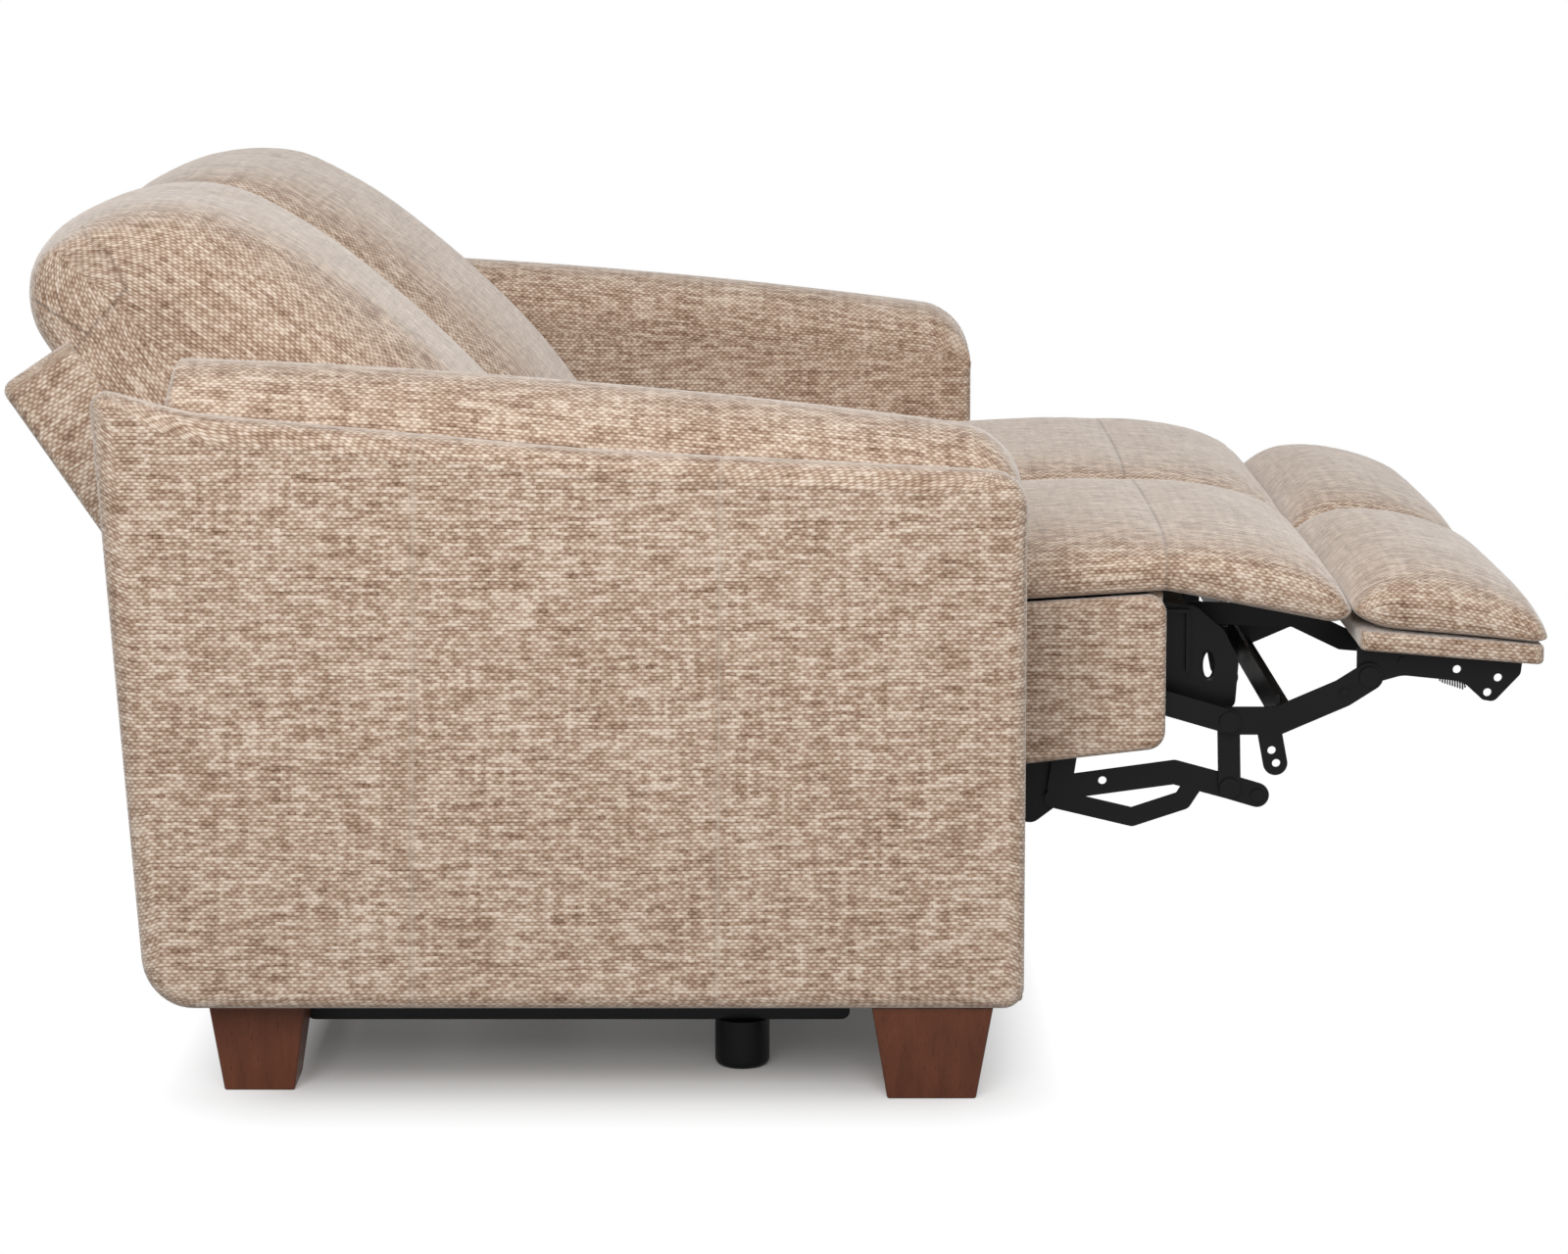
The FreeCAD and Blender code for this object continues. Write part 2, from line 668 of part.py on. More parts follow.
def rear_lower_panel():
    low, high = ARM_BOTTOM, ARM_BOTTOM + LOWER_BACK_RISE
    corners = [
        (rear_edge(low), low, 3),
        (rear_edge(low) + LOWER_BACK_WALL, low, 3),
        (rear_edge(high) + LOWER_BACK_WALL, high, 6),
        (rear_edge(high), high, 6),
    ]
    panel = plate(corners, -SEAT_PITCH, SEAT_PITCH)
    return panel.cut(inlet_block(BOLT_CLEARANCE))


def inlet_block(grow):
    z = ARM_BOTTOM + INLET_RISE
    half = INLET_BODY / 2 + grow
    rear = rear_edge(z) - 4
    front = rear + INLET_DEPTH + LOWER_BACK_WALL
    return box(rear, front, INLET_Y - half, INLET_Y + half, z - half, z + half)


def power_inlet():
    z = ARM_BOTTOM + INLET_RISE
    socket = Part.makeCylinder(INLET_R, INLET_DEPTH, vec(rear_edge(z) - 4, INLET_Y, z), vec(1, 0, 0))
    return inlet_block(0).cut(socket)


# Controls


def control_body(side, grow):
    z = ARM_BOTTOM + CONTROL_RISE
    half_x, half_z = CONTROL_LENGTH / 2 - CONTROL_LIP + grow, CONTROL_HEIGHT / 2 - CONTROL_LIP + grow
    inner, deep = arm_y(side, ARM_WIDTH), arm_y(side, ARM_WIDTH - ARM_INNER_WALL)
    return box(CONTROL_X - half_x, CONTROL_X + half_x, inner, deep, z - half_z, z + half_z)


def button_centre(index):
    return CONTROL_X + (index - 0.5) * BUTTON_SPACING, ARM_BOTTOM + CONTROL_RISE


def control_panel(side):
    """Recessed switch body with a thin lip on the inner arm face and a bore for each button."""
    z = ARM_BOTTOM + CONTROL_RISE
    half_x, half_z = CONTROL_LENGTH / 2, CONTROL_HEIGHT / 2
    corners = [
        (CONTROL_X - half_x, z - half_z, 10),
        (CONTROL_X + half_x, z - half_z, 10),
        (CONTROL_X + half_x, z + half_z, 10),
        (CONTROL_X - half_x, z + half_z, 10),
    ]
    inner = arm_y(side, ARM_WIDTH)
    lip = plate(corners, inner, arm_y(side, ARM_WIDTH + CONTROL_PROUD))
    body = fused([control_body(side, 0), lip])
    deep = BUTTON_LENGTH + BUTTON_TRAVEL + BUTTON_CLEARANCE - BUTTON_PROUD - CONTROL_PROUD
    for index in (0, 1):
        mouth, floor = arm_y(side, ARM_WIDTH + CONTROL_PROUD + 1), arm_y(side, ARM_WIDTH - deep)
        body = body.cut(rod(button_centre(index), BUTTON_R + BUTTON_CLEARANCE, mouth, floor))
    return body


def control_button(side, index):
    face = ARM_WIDTH + CONTROL_PROUD + BUTTON_PROUD
    button = rod(button_centre(index), BUTTON_R, arm_y(side, face), arm_y(side, face - BUTTON_LENGTH))
    return button.makeFillet(BUTTON_PROUD, edges_at_y(button, arm_y(side, face)))


# Seat slide


def along_slide(point, run, up):
    """Point moved along the slide rails and square to them."""
    return (
        point[0] + run * SLIDE_DIR[0] + up * SLIDE_UP[0],
        point[1] + run * SLIDE_DIR[1] + up * SLIDE_UP[1],
    )


def slide_bar(start, run0, run1, up0, up1, y0, y1):
    """Bar laid along the slide direction, with flat ends square to it."""
    corners = [(run0, up0), (run1, up0), (run1, up1), (run0, up1)]
    low, high = min(y0, y1), max(y0, y1)
    points = [along_slide(start, run, up) for run, up in corners]
    wire = Part.makePolygon([vec(x, low, z) for x, z in points + points[:1]])
    return Part.Face(wire).extrude(vec(0, high - low, 0))


RAIL_TOP_UP = -TUBE_R - GLIDE_WALL
RAIL_LOW_UP = RAIL_TOP_UP - SLIDE_RAIL_HEIGHT
TUBE_SPAN = math.hypot(FRONT_TUBE[0] - REAR_TUBE[0], FRONT_TUBE[1] - REAR_TUBE[1])


def slide_rails(centre):
    """Two inclined rails for one seat, each on a front and a rear stand from the cross rails."""
    rear_run = -SLIDE_TRAVEL - GLIDE_LENGTH / 2 - SLIDE_RAIL_SPARE
    front_run = TUBE_SPAN + GLIDE_LENGTH / 2 + SLIDE_RAIL_SPARE
    solids = []
    for side in (-1, 1):
        middle = centre + side * SLIDE_RAIL_Y
        y0, y1 = middle - SLIDE_RAIL_WIDTH / 2, middle + SLIDE_RAIL_WIDTH / 2
        rail = slide_bar(REAR_TUBE, rear_run, front_run, RAIL_LOW_UP, RAIL_TOP_UP, y0, y1)
        solids.append(rail)
        for x in (REAR_CROSS_X, FRONT_CROSS_X):
            run = (x - REAR_TUBE[0]) / SLIDE_DIR[0]
            under = along_slide(REAR_TUBE, run, RAIL_LOW_UP + SLIDE_RAIL_HEIGHT / 2)
            half = CROSS_RAIL_WIDTH / 2 - 4
            solids.append(box(x - half, x + half, y0, y1, BASE_TOP, under[1]).cut(rail))
    return solids


def recline_actuator(centre):
    """Screw track parallel to the slide rails, with its gear motor, on the rear cross rail."""
    y = centre + RECLINE_TRACK_Y
    half = TRACK_WIDTH / 2
    up0 = -RECLINE_TRACK_DROP - TRACK_HEIGHT / 2
    rear_run, front_run = -SLIDE_TRAVEL - NUT_LENGTH - SLIDE_RAIL_SPARE, NUT_LENGTH
    track = slide_bar(REAR_TUBE, rear_run, front_run, up0, up0 + TRACK_HEIGHT, y - half, y + half)
    under = along_slide(REAR_TUBE, rear_run + NUT_LENGTH / 2, up0 + TRACK_HEIGHT / 2)
    stand_half = CROSS_RAIL_WIDTH / 2 - 4
    stand = box(REAR_CROSS_X - stand_half, REAR_CROSS_X + stand_half, y - half, y + half, BASE_TOP, under[1])
    motor = slide_bar(
        REAR_TUBE, rear_run - MOTOR_HEIGHT, rear_run, up0 - MOTOR_HEIGHT / 4, up0 + MOTOR_HEIGHT / 2,
        y - MOTOR_WIDTH / 2, y + MOTOR_WIDTH / 2,
    )
    return [track, stand.cut(track).cut(motor), motor]


def seat_carriage():
    """Steel side plates and cross tubes that carry one seat, with its glides, pivots and drive lugs."""
    low_rear = along_slide(REAR_TUBE, -TUBE_R * 2, -TUBE_R * 1.6)
    low_front = offset(FRONT_TUBE, 36, -TUBE_R * 1.6)
    rear = offset(BACK_PIVOT, -34, 0)
    corners = [
        (low_rear[0], low_rear[1], 14),
        (low_front[0], low_front[1], 20),
        (LOWER_PIVOT[0] - 20, LOWER_PIVOT[1] - 20, 10),
        (BOX_FRONT_X - BOARD, LOWER_PIVOT[1] + 16, 10),
        (BOX_FRONT_X - BOARD, BOX_TOP - HINGE_BELOW, 10),
        (BACK_PIVOT[0] + 40, BACK_PIVOT[1] + 34, 20),
        (rear[0], BACK_PIVOT[1] + 30, 24),
        (rear[0], BACK_PIVOT[1] - 30, 24),
    ]
    outer, inner = layer(0, 1)
    solids = []
    carried = {FRONT_TUBE: [], REAR_TUBE: [recline_nut()]}
    for side in (-1, 1):
        pins = [
            rod(pivot, PIVOT_R, side * outer, layer(depth, side)[1])
            for pivot, depth in ((CRANK_PIVOT, CRANK_LAYER), (BACK_PIVOT, BACK_ARM_LAYER))
        ]
        solids.append(fused([plate(corners, side * outer, side * inner), *pins]))
        hanger = layer(HANGER_LAYER, side)
        pin = rod(LOWER_PIVOT, PIN_R, hanger[1], layer(LOWER_LAYER, side)[0])
        carried[FRONT_TUBE].append(fused([strap([FRONT_TUBE, LOWER_PIVOT], LINK_HALF, *hanger), pin]))
    for centre, pieces in carried.items():
        run = (centre[0] - REAR_TUBE[0]) / SLIDE_DIR[0]
        tube = rod(centre, TUBE_R, -inner, inner)
        pieces += [glide(run, side * SLIDE_RAIL_Y) for side in (-1, 1)]
        solids += [tube, *(piece.cut(tube) for piece in pieces)]
    return solids


def glide(run, y):
    """Nylon saddle that rides on a slide rail under a cross tube."""
    half = SLIDE_RAIL_WIDTH / 2
    wide = half + GLIDE_CLEARANCE + GLIDE_WALL
    saddle = slide_bar(
        REAR_TUBE, run - GLIDE_LENGTH / 2, run + GLIDE_LENGTH / 2,
        RAIL_TOP_UP - SLIDE_RAIL_HEIGHT / 2, -TUBE_R / 2, y - wide, y + wide,
    )
    groove = slide_bar(
        REAR_TUBE, run - GLIDE_LENGTH, run + GLIDE_LENGTH, RAIL_LOW_UP, RAIL_TOP_UP + GLIDE_CLEARANCE,
        y - half - GLIDE_CLEARANCE, y + half + GLIDE_CLEARANCE,
    )
    return saddle.cut(groove)


def recline_nut():
    """Drive lug under the rear tube that straddles the recline screw track."""
    half = TRACK_WIDTH / 2
    top = -RECLINE_TRACK_DROP + TRACK_HEIGHT / 2
    wide = half + GLIDE_CLEARANCE + GLIDE_WALL
    y = RECLINE_TRACK_Y
    lug = slide_bar(
        REAR_TUBE, -NUT_LENGTH / 2, NUT_LENGTH / 2, top - TRACK_HEIGHT / 2, -TUBE_R / 2, y - wide, y + wide
    )
    groove = slide_bar(
        REAR_TUBE, -NUT_LENGTH, NUT_LENGTH, top - 2 * TRACK_HEIGHT, top + GLIDE_CLEARANCE,
        y - half - GLIDE_CLEARANCE, y + half + GLIDE_CLEARANCE,
    )
    return lug.cut(groove)


# Seat box and cushions


def box_top(x):
    return BOX_TOP + (x - BOX_FRONT_X) * BOX_TOP_SLOPE


def box_bottom(x):
    return BOX_TOP - BOX_FRONT_HEIGHT + (x - BOX_FRONT_X) * BOX_BOTTOM_SLOPE


def seat_box():
    """Upholstered boards round a seat's frame: two sides, a front and a rear board."""
    corners = [
        (BOX_REAR_X, box_bottom(BOX_REAR_X), 12),
        (BOX_FRONT_X, box_bottom(BOX_FRONT_X), BOX_CORNER),
        (BOX_FRONT_X, box_top(BOX_FRONT_X), BOX_CORNER),
        (BOX_REAR_X, box_top(BOX_REAR_X), 12),
    ]
    solids = [plate(corners, side * BOX_INNER, side * BOX_OUTER) for side in (-1, 1)]
    across = BOX_INNER - PLATE
    front_half = layer(CRANK_LAYER, 1)[1] - LAYER_GAP
    front = [
        (BOX_FRONT_X - BOARD, box_bottom(BOX_FRONT_X) + 6, 2),
        (BOX_FRONT_X - FRONT_BOARD_SET, box_bottom(BOX_FRONT_X) + 6, 5),
        (BOX_FRONT_X - FRONT_BOARD_SET, box_top(BOX_FRONT_X) - 1, 5),
        (BOX_FRONT_X - BOARD, box_top(BOX_FRONT_X - BOARD), 2),
    ]
    rear_x = BOX_REAR_X + REAR_BOARD_BACK
    rear = [
        (rear_x, BACK_PIVOT[1] - 40, 2),
        (rear_x + BOARD, BACK_PIVOT[1] - 40, 2),
        (rear_x + BOARD, box_top(rear_x + BOARD), 2),
        (rear_x, box_top(rear_x), 2),
    ]
    solids.append(plate(front, -front_half, front_half))
    solids.append(plate(rear, -across, across))
    return solids


def seat_straps():
    """Elastic webbing straps laid from the front board to the rear board."""
    x0, x1 = BOX_REAR_X + REAR_BOARD_BACK + BOARD, BOX_FRONT_X - BOARD
    solids = []
    step = 2 * (BOX_INNER - PLATE - STRAP_WIDTH) / (STRAP_COUNT - 1)
    for index in range(STRAP_COUNT):
        y = (index - (STRAP_COUNT - 1) / 2) * step
        corners = [
            (x0, box_top(x0) - STRAP_THICK),
            (x1, box_top(x1) - STRAP_THICK),
            (x1, box_top(x1)),
            (x0, box_top(x0)),
        ]
        wire = Part.makePolygon([vec(x, y - STRAP_WIDTH / 2, z) for x, z in corners + corners[:1]])
        solids.append(Part.Face(wire).extrude(vec(0, STRAP_WIDTH, 0)))
    return solids


def soft_sections(half, lower, upper):
    """Sections across a seat: a full crown that falls to drawn-in sides.

    lower and upper are matching lists of (x, z, radius) along the underside and the crown;
    each crown point sinks towards the underside below it as the section nears a side.
    """
    sections = []
    middle = (lower[0][0] + lower[-1][0]) / 2
    length = abs(lower[-1][0] - lower[0][0]) / 2
    for t, fall in crown_stations():
        y, share, draw = t * half, 1 - (1 - CROWN_EDGE) * fall, EDGE_DRAW * fall
        corners = []
        for x, z, radius in lower + upper[::-1]:
            (x0, z0, _), (x1, z1, _) = lower[0], lower[-1]
            base = z0 + (z1 - z0) * (x - x0) / (x1 - x0)
            corners.append((middle + (x - middle) * (1 - draw / length), base + (z - base) * share, radius))
        sections.append(rounded_wire(corners, at_y(y)))
    return sections


def seat_cushion():
    x0, x1 = CUSHION_REAR_X, BOX_FRONT_X
    lower = [(x0, box_top(x0) + REST_GAP, 14), (x1, box_top(x1) + REST_GAP, 6)]
    upper = [
        (x0 + 6, box_top(x0) + CUSHION_REAR_THICK, 40),
        ((x0 + x1) / 2, box_top((x0 + x1) / 2) + CUSHION_THICK + 8, 900),
        (x1, box_top(x1) + CUSHION_THICK, 3),
    ]
    return crowned(soft_sections(SEAT_HALF - CUSHION_GAP, lower, upper))


def bolster():
    """Padded roll between the seat cushion and the leg-rest pad."""
    x0 = BOX_FRONT_X + BOLSTER_GAP
    x1 = x0 + BOLSTER_LENGTH
    z0 = box_top(BOX_FRONT_X) + REST_GAP
    z1 = z0 - BOLSTER_DROP
    lower = [(x0, z0, 6), (x1, z1, 16)]
    upper = [
        (x0, z0 + CUSHION_THICK, 3),
        (x0 + 0.42 * BOLSTER_LENGTH, z0 + CUSHION_THICK - 2, 300),
        (x0 + 0.72 * BOLSTER_LENGTH, z0 + 0.68 * CUSHION_THICK, 200),
        (x1, z1 + BOLSTER_NOSE, 24),
    ]
    return crowned(soft_sections(SEAT_HALF - CUSHION_GAP, lower, upper))


LEG_REAR_X = BOX_FRONT_X + 2 * BOLSTER_GAP + BOLSTER_LENGTH
LEG_REAR_Z = BOX_TOP + REST_GAP - BOLSTER_DROP


def board_top(x):
    return LEG_REAR_Z - PAD_BOARD_SLOPE * (x - LEG_REAR_X)


def board_low(x):
    return board_top(x) - PAD_BOARD_THICK


def footrest_board():
    x0 = LEG_REAR_X + PAD_BOARD_SET
    x1 = x0 + PAD_BOARD_LENGTH
    corners = [
        (x0, board_low(x0), 7),
        (x1, board_low(x1), 7),
        (x1, board_top(x1), 7),
        (x0, board_top(x0), 7),
    ]
    half = SEAT_HALF - SEAT_GAP
    return plate(corners, -half, half)


def footrest_pad():
    x0 = LEG_REAR_X
    x1 = x0 + LEG_PAD_LENGTH
    lower = [(x0, board_top(x0) + REST_GAP, 14), (x1, board_top(x1) + REST_GAP, 12)]
    upper = [
        (x0 + 2, board_top(x0) + 0.78 * LEG_PAD_THICK, 22),
        (x0 + 0.34 * LEG_PAD_LENGTH, board_top(x0 + 0.34 * LEG_PAD_LENGTH) + LEG_PAD_THICK, 160),
        (x0 + 0.72 * LEG_PAD_LENGTH, board_top(x0 + 0.72 * LEG_PAD_LENGTH) + 0.93 * LEG_PAD_THICK, 110),
        (x1 - 2, board_top(x1) + 0.42 * LEG_PAD_THICK, 26),
    ]
    return crowned(soft_sections(SEAT_HALF - CUSHION_GAP, lower, upper))


# Leg-rest linkage


def hinge_brackets():
    """Seat-side hinge of the leg rest: an angle spreader on the front board, two lugs and their pins."""
    x0 = BOX_FRONT_X - FRONT_BOARD_SET
    x1 = x0 + HINGE_SPREADER_DEPTH
    z0, z1 = HINGE[1] - HINGE_SPREADER_BELOW, HINGE[1] + HINGE_SPREADER_ABOVE
    across = HINGE_SPREADER_HALF
    pieces = [box(x1 - PLATE, x1, -across, across, z0, z1), box(x0, x1, -across, across, z1 - PLATE, z1)]
    for side in (-1, 1):
        y0, y1 = side * (HINGE_ARM_Y - PLATE), side * HINGE_ARM_Y
        root = (x1 + HINGE_LUG_ROOT[0], HINGE[1] - HINGE_LUG_ROOT[1])
        pieces.append(strap([root, HINGE], HINGE_ARM_HALF, y0, y1))
        pieces.append(rod(HINGE, PIVOT_R, y0, y1 + side * (LAYER_GAP + PLATE + PIN_HEAD)))
    return fused(pieces)


def footrest_brackets():
    """Steel under the leg-rest board: two hinge arms, and two side brackets with the ottoman pins."""
    solids = []
    x_end = LEG_REAR_X + PAD_BOARD_SET + PAD_BOARD_LENGTH
    for side in (-1, 1):
        y0, y1 = side * (HINGE_ARM_Y + LAYER_GAP), side * (HINGE_ARM_Y + LAYER_GAP + PLATE)
        far_x, turn_x = LEG_REAR_X + HINGE_ARM_REACH, LEG_REAR_X + HINGE_TURN_AHEAD
        far = (far_x, board_low(far_x) - HINGE_ARM_DROP)
        knee = (LEG_REAR_X - HINGE_KNEE[0], HINGE[1] - HINGE_KNEE[1])
        turn = (turn_x, board_low(turn_x) - HINGE_ARM_DROP)
        arm = pierced(strap([HINGE, knee, turn, far], HINGE_ARM_HALF, y0, y1), [HINGE], PIVOT_R + RUNNING)
        tab_x, tab_end = LEG_REAR_X + HINGE_TAB_START, far_x + HINGE_TAB_PAST
        tab = [
            (tab_x, board_low(tab_x) - PLATE, 1),
            (tab_end, board_low(tab_end) - PLATE, 1),
            (tab_end, board_low(tab_end), 1),
            (tab_x, board_low(tab_x), 1),
        ]
        solids.append(fused([arm, plate(tab, y0, y1 + side * HINGE_TAB_WIDTH)]))
        solids.append(side_bracket(side, x_end))
    return solids


def side_bracket(side, x_end):
    """Ottoman bracket: a pressed plate along the board's underside with a hooked front toe."""
    y0, y1 = layer(BRACKET_LAYER, side)
    rear = LEG_REAR_X + BRACKET_REAR_SET
    toe = x_end - BRACKET_TOE_SET
    belly_x = BRACKET_PIVOT[0] + BRACKET_BELLY[0]
    corners = [
        (rear, BRACKET_PIVOT[1] - LINK_HALF, BRACKET_REAR_ROUND),
        (belly_x, board_low(BRACKET_PIVOT[0]) - BRACKET_BELLY[1], BRACKET_BELLY_ROUND),
        *((toe + ahead, board_low(toe) - below, radius) for ahead, below, radius in TOE_CORNERS),
        (toe + TOE_NOSE, board_low(toe + TOE_NOSE), 2),
        (rear, board_low(rear), 4),
    ]
    toe_foot = (toe, board_low(toe))
    holes = [offset(toe_foot, -back, -down) for back, down in TOE_HOLES]
    body = pierced(plate(corners, y0, y1), holes, TOE_HOLE_R)
    flange_x = LEG_REAR_X + BRACKET_FLANGE_START
    flange = [
        (flange_x, board_low(flange_x) - PLATE, 1),
        (toe, board_low(toe) - PLATE, 1),
        (toe, board_low(toe), 1),
        (flange_x, board_low(flange_x), 1),
    ]
    rivet = rod((belly_x, board_low(belly_x) - BRACKET_RIVET_BELOW), RIVET_R, y0, y0 + side * RIVET_HEAD)
    under_head = layer(OTTOMAN_LAYER, side)[0] + side * LAYER_GAP / 2
    outer = under_head + side * PIN_HEAD
    pin = rod(BRACKET_PIVOT, PIN_R, y1, outer)
    head = rod(BRACKET_PIVOT, PIN_HEAD_R, under_head, outer)
    return fused([body, plate(flange, y1, y1 - side * BRACKET_FLANGE_WIDTH), rivet, pin, head])


def crank():
    """Two upper cranks joined by a torque tube, with the slotted drive arms at mid-span."""
    y_in = layer(CRANK_LAYER, 1)[1]
    tube = rod(CRANK_PIVOT, TORQUE_TUBE_R, -y_in, y_in)
    solids = [tube]
    for side in (-1, 1):
        y0, y1 = layer(CRANK_LAYER, side)
        bar = strap([CRANK_PIVOT, OTTOMAN_PIVOT], LINK_HALF, y0, y1)
        bar = pierced(bar, [CRANK_PIVOT], PIVOT_R + RUNNING)
        pin = rod(OTTOMAN_PIVOT, PIN_R, y0, layer(DROP_LAYER, side)[1])
        head = rod(OTTOMAN_PIVOT, PIN_HEAD_R, y0, y0 + side * PIN_HEAD)
        solids.append(fused([bar, pin, head]))
        solids.append(drive_arm(side).cut(tube))
    return solids


def drive_arm(side):
    """Slotted arm on the torque tube that the drive nut's pin pushes."""
    y0, y1 = side * DRIVE_ARM_Y, side * (DRIVE_ARM_Y + PLATE)
    half_swing = math.radians(FOOTREST_SWING / 2)
    direction = (math.sin(half_swing), -math.cos(half_swing))
    near = DRIVE_RADIUS * math.cos(half_swing)

    def along(reach):
        return offset(CRANK_PIVOT, direction[0] * reach, direction[1] * reach)

    arm = strap([CRANK_PIVOT, along(DRIVE_RADIUS + 6)], DRIVE_ARM_HALF, y0, y1)
    slot_half = DRIVE_PIN_R + DRIVE_SLOT_SIDE
    return arm.cut(strap([along(near - 4), along(DRIVE_RADIUS + 2)], slot_half, y0 - side, y1 + side))


def drive_nut():
    """Nut block on the drive screw track with its two push pins."""
    x = CRANK_PIVOT[0] + DRIVE_REACH
    half = TRACK_WIDTH / 2
    long, high = NUT_LENGTH / 2, NUT_HEIGHT / 2
    block = box(x - long, x + long, -half, half, DRIVE_LINE_Z - high, DRIVE_LINE_Z + high)
    reach = DRIVE_ARM_Y + PLATE + 3
    return fused([block, rod((x, DRIVE_LINE_Z), DRIVE_PIN_R, -reach, reach)])


def footrest_motor():
    """Screw track under the drive nut with its gear motor, lying on the carriage's front tube."""
    low = FRONT_TUBE[1] + TUBE_R
    front = CRANK_PIVOT[0] + DRIVE_REACH + NUT_LENGTH / 2
    rear = FRONT_TUBE[0] - NUT_LENGTH
    half = TRACK_WIDTH / 2
    track = box(rear, front, -half, half, low, low + TRACK_HEIGHT - GLIDE_CLEARANCE)
    motor = box(rear - MOTOR_LENGTH, rear, -MOTOR_WIDTH / 2, MOTOR_WIDTH / 2, low, low + MOTOR_HEIGHT)
    along = [e for e in motor.Edges if abs(e.BoundBox.XLength - MOTOR_LENGTH) < 1e-6]
    return fused([track, motor.makeFillet(10, along)])


def lower_link():
    """Lower cranks: an arched bar from the carriage to the link tip, with a guard bar below it."""
    solids = []
    heel = offset(LOWER_PIVOT, *LOWER_HEEL)
    for side in (-1, 1):
        y0, y1 = layer(LOWER_LAYER, side)
        crest = offset(((LOWER_PIVOT[0] + DROP_PIVOT[0]) / 2, DROP_PIVOT[1]), *LOWER_CREST)
        bar = strap([LOWER_PIVOT, heel, crest, DROP_PIVOT, LOWER_TIP], LINK_HALF, y0, y1)
        bar = pierced(bar, [LOWER_PIVOT], PIN_R + RUNNING)
        bar = pierced(bar, [offset(heel, *LOWER_HOLE)], TOE_HOLE_R)
        guard_line = [offset(heel, *step) for step in GUARD_LINE]
        guard = strap(guard_line, LINK_HALF - GUARD_NARROWER, y0, y1)
        under_head = layer(DROP_LAYER, side)[0] + side * LAYER_GAP / 2
        pin = rod(DROP_PIVOT, PIN_R, y1, under_head + side * PIN_HEAD)
        head = rod(DROP_PIVOT, PIN_HEAD_R, under_head, under_head + side * PIN_HEAD)
        rivet = rod(LOWER_TIP, TIP_RIVET_R, y0, y0 + side * PIN_HEAD)
        solids.append(fused([bar, guard, pin, head, rivet]))
    return solids


def ottoman_link():
    """Ottoman links: a branched plate on each side, joined by an angle stretcher across the seat."""
    solids = []
    foot = offset(OTTOMAN_PIVOT, *OTTOMAN_FOOT)
    for side in (-1, 1):
        y0, y1 = layer(OTTOMAN_LAYER, side)
        shoulder, elbow = offset(OTTOMAN_PIVOT, *OTTOMAN_SHOULDER), offset(BRACKET_PIVOT, *OTTOMAN_ELBOW)
        arm = strap([OTTOMAN_PIVOT, shoulder, elbow, BRACKET_PIVOT], LINK_HALF + OTTOMAN_WIDER, y0, y1)
        leg = strap([offset(OTTOMAN_PIVOT, *OTTOMAN_LEG_ROOT), foot], LINK_HALF, y0, y1)
        body = pierced(fused([arm, leg]), [OTTOMAN_PIVOT, BRACKET_PIVOT], PIN_R + RUNNING)
        body = pierced(body, [offset(foot, *step) for step in OTTOMAN_FOOT_HOLES], TOE_HOLE_R)
        rivet = rod(offset(elbow, *OTTOMAN_RIVET), RIVET_R, y0, y0 + side * RIVET_HEAD)
        solids.append(fused([body, rivet]))
    reach = layer(OTTOMAN_LAYER, 1)[1]
    x, z = offset(OTTOMAN_PIVOT, STRETCHER_AHEAD, -STRETCHER_BELOW)
    upright = box(x, x + PLATE, -reach, reach, z, z + STRETCHER_HEIGHT)
    ledge = box(x, x + STRETCHER_DEPTH, -reach, reach, z, z + PLATE)
    return [*solids, fused([upright, ledge])]


def drop_link():
    solids = []
    for side in (-1, 1):
        y0, y1 = layer(DROP_LAYER, side)
        bar = strap([OTTOMAN_PIVOT, DROP_PIVOT], LINK_HALF - DROP_NARROWER, y0, y1)
        solids.append(pierced(bar, [OTTOMAN_PIVOT, DROP_PIVOT], PIN_R + RUNNING))
    return solids


# Back


def back_panel():
    corners = [
        (0, -BACK_PANEL_LENGTH, 8),
        (BACK_PANEL_THICK, -BACK_PANEL_LENGTH, 8),
        (BACK_PANEL_THICK, 0, 12),
        (0, 0, 16),
    ]
    return plate(corners, -BACK_HALF, BACK_HALF, on_back)


def back_frame():
    """Hardwood back frame with steel hinge arms that reach forward to the seat's back pivots."""
    b0, b1 = BACK_PANEL_THICK + REST_GAP, BACK_PANEL_THICK + REST_GAP + BACK_FRAME_DEPTH
    low, high = -BACK_CUSHION_LENGTH - BACK_FRAME_OVERHANG, -30
    half = BACK_HALF - 8

    def bar(y0, y1, up0, up1):
        corners = [(b0, up0), (b1, up0), (b1, up1), (b0, up1)]
        place = on_back(min(y0, y1))
        wire = Part.makePolygon([place(*c) for c in corners + corners[:1]])
        return Part.Face(wire).extrude(vec(0, abs(y1 - y0), 0))

    solids = []
    for side in (-1, 1):
        post = bar(side * half, side * (half - BACK_FRAME_POST), low, high)
        y0, y1 = layer(BACK_ARM_LAYER, side)
        root = on_back(0)((b0 + b1) / 2, low + 18)
        arm = strap([BACK_PIVOT, (root.x, root.z)], 20, y0, y1)
        arm = pierced(arm, [BACK_PIVOT], PIVOT_R + RUNNING)
        solids.append(post.cut(arm))
        solids.append(arm)
    inner = half - BACK_FRAME_POST
    for up in (high - BACK_FRAME_POST, (low + high) / 2, low):
        solids.append(bar(-inner, inner, up, up + BACK_FRAME_POST))
    return solids


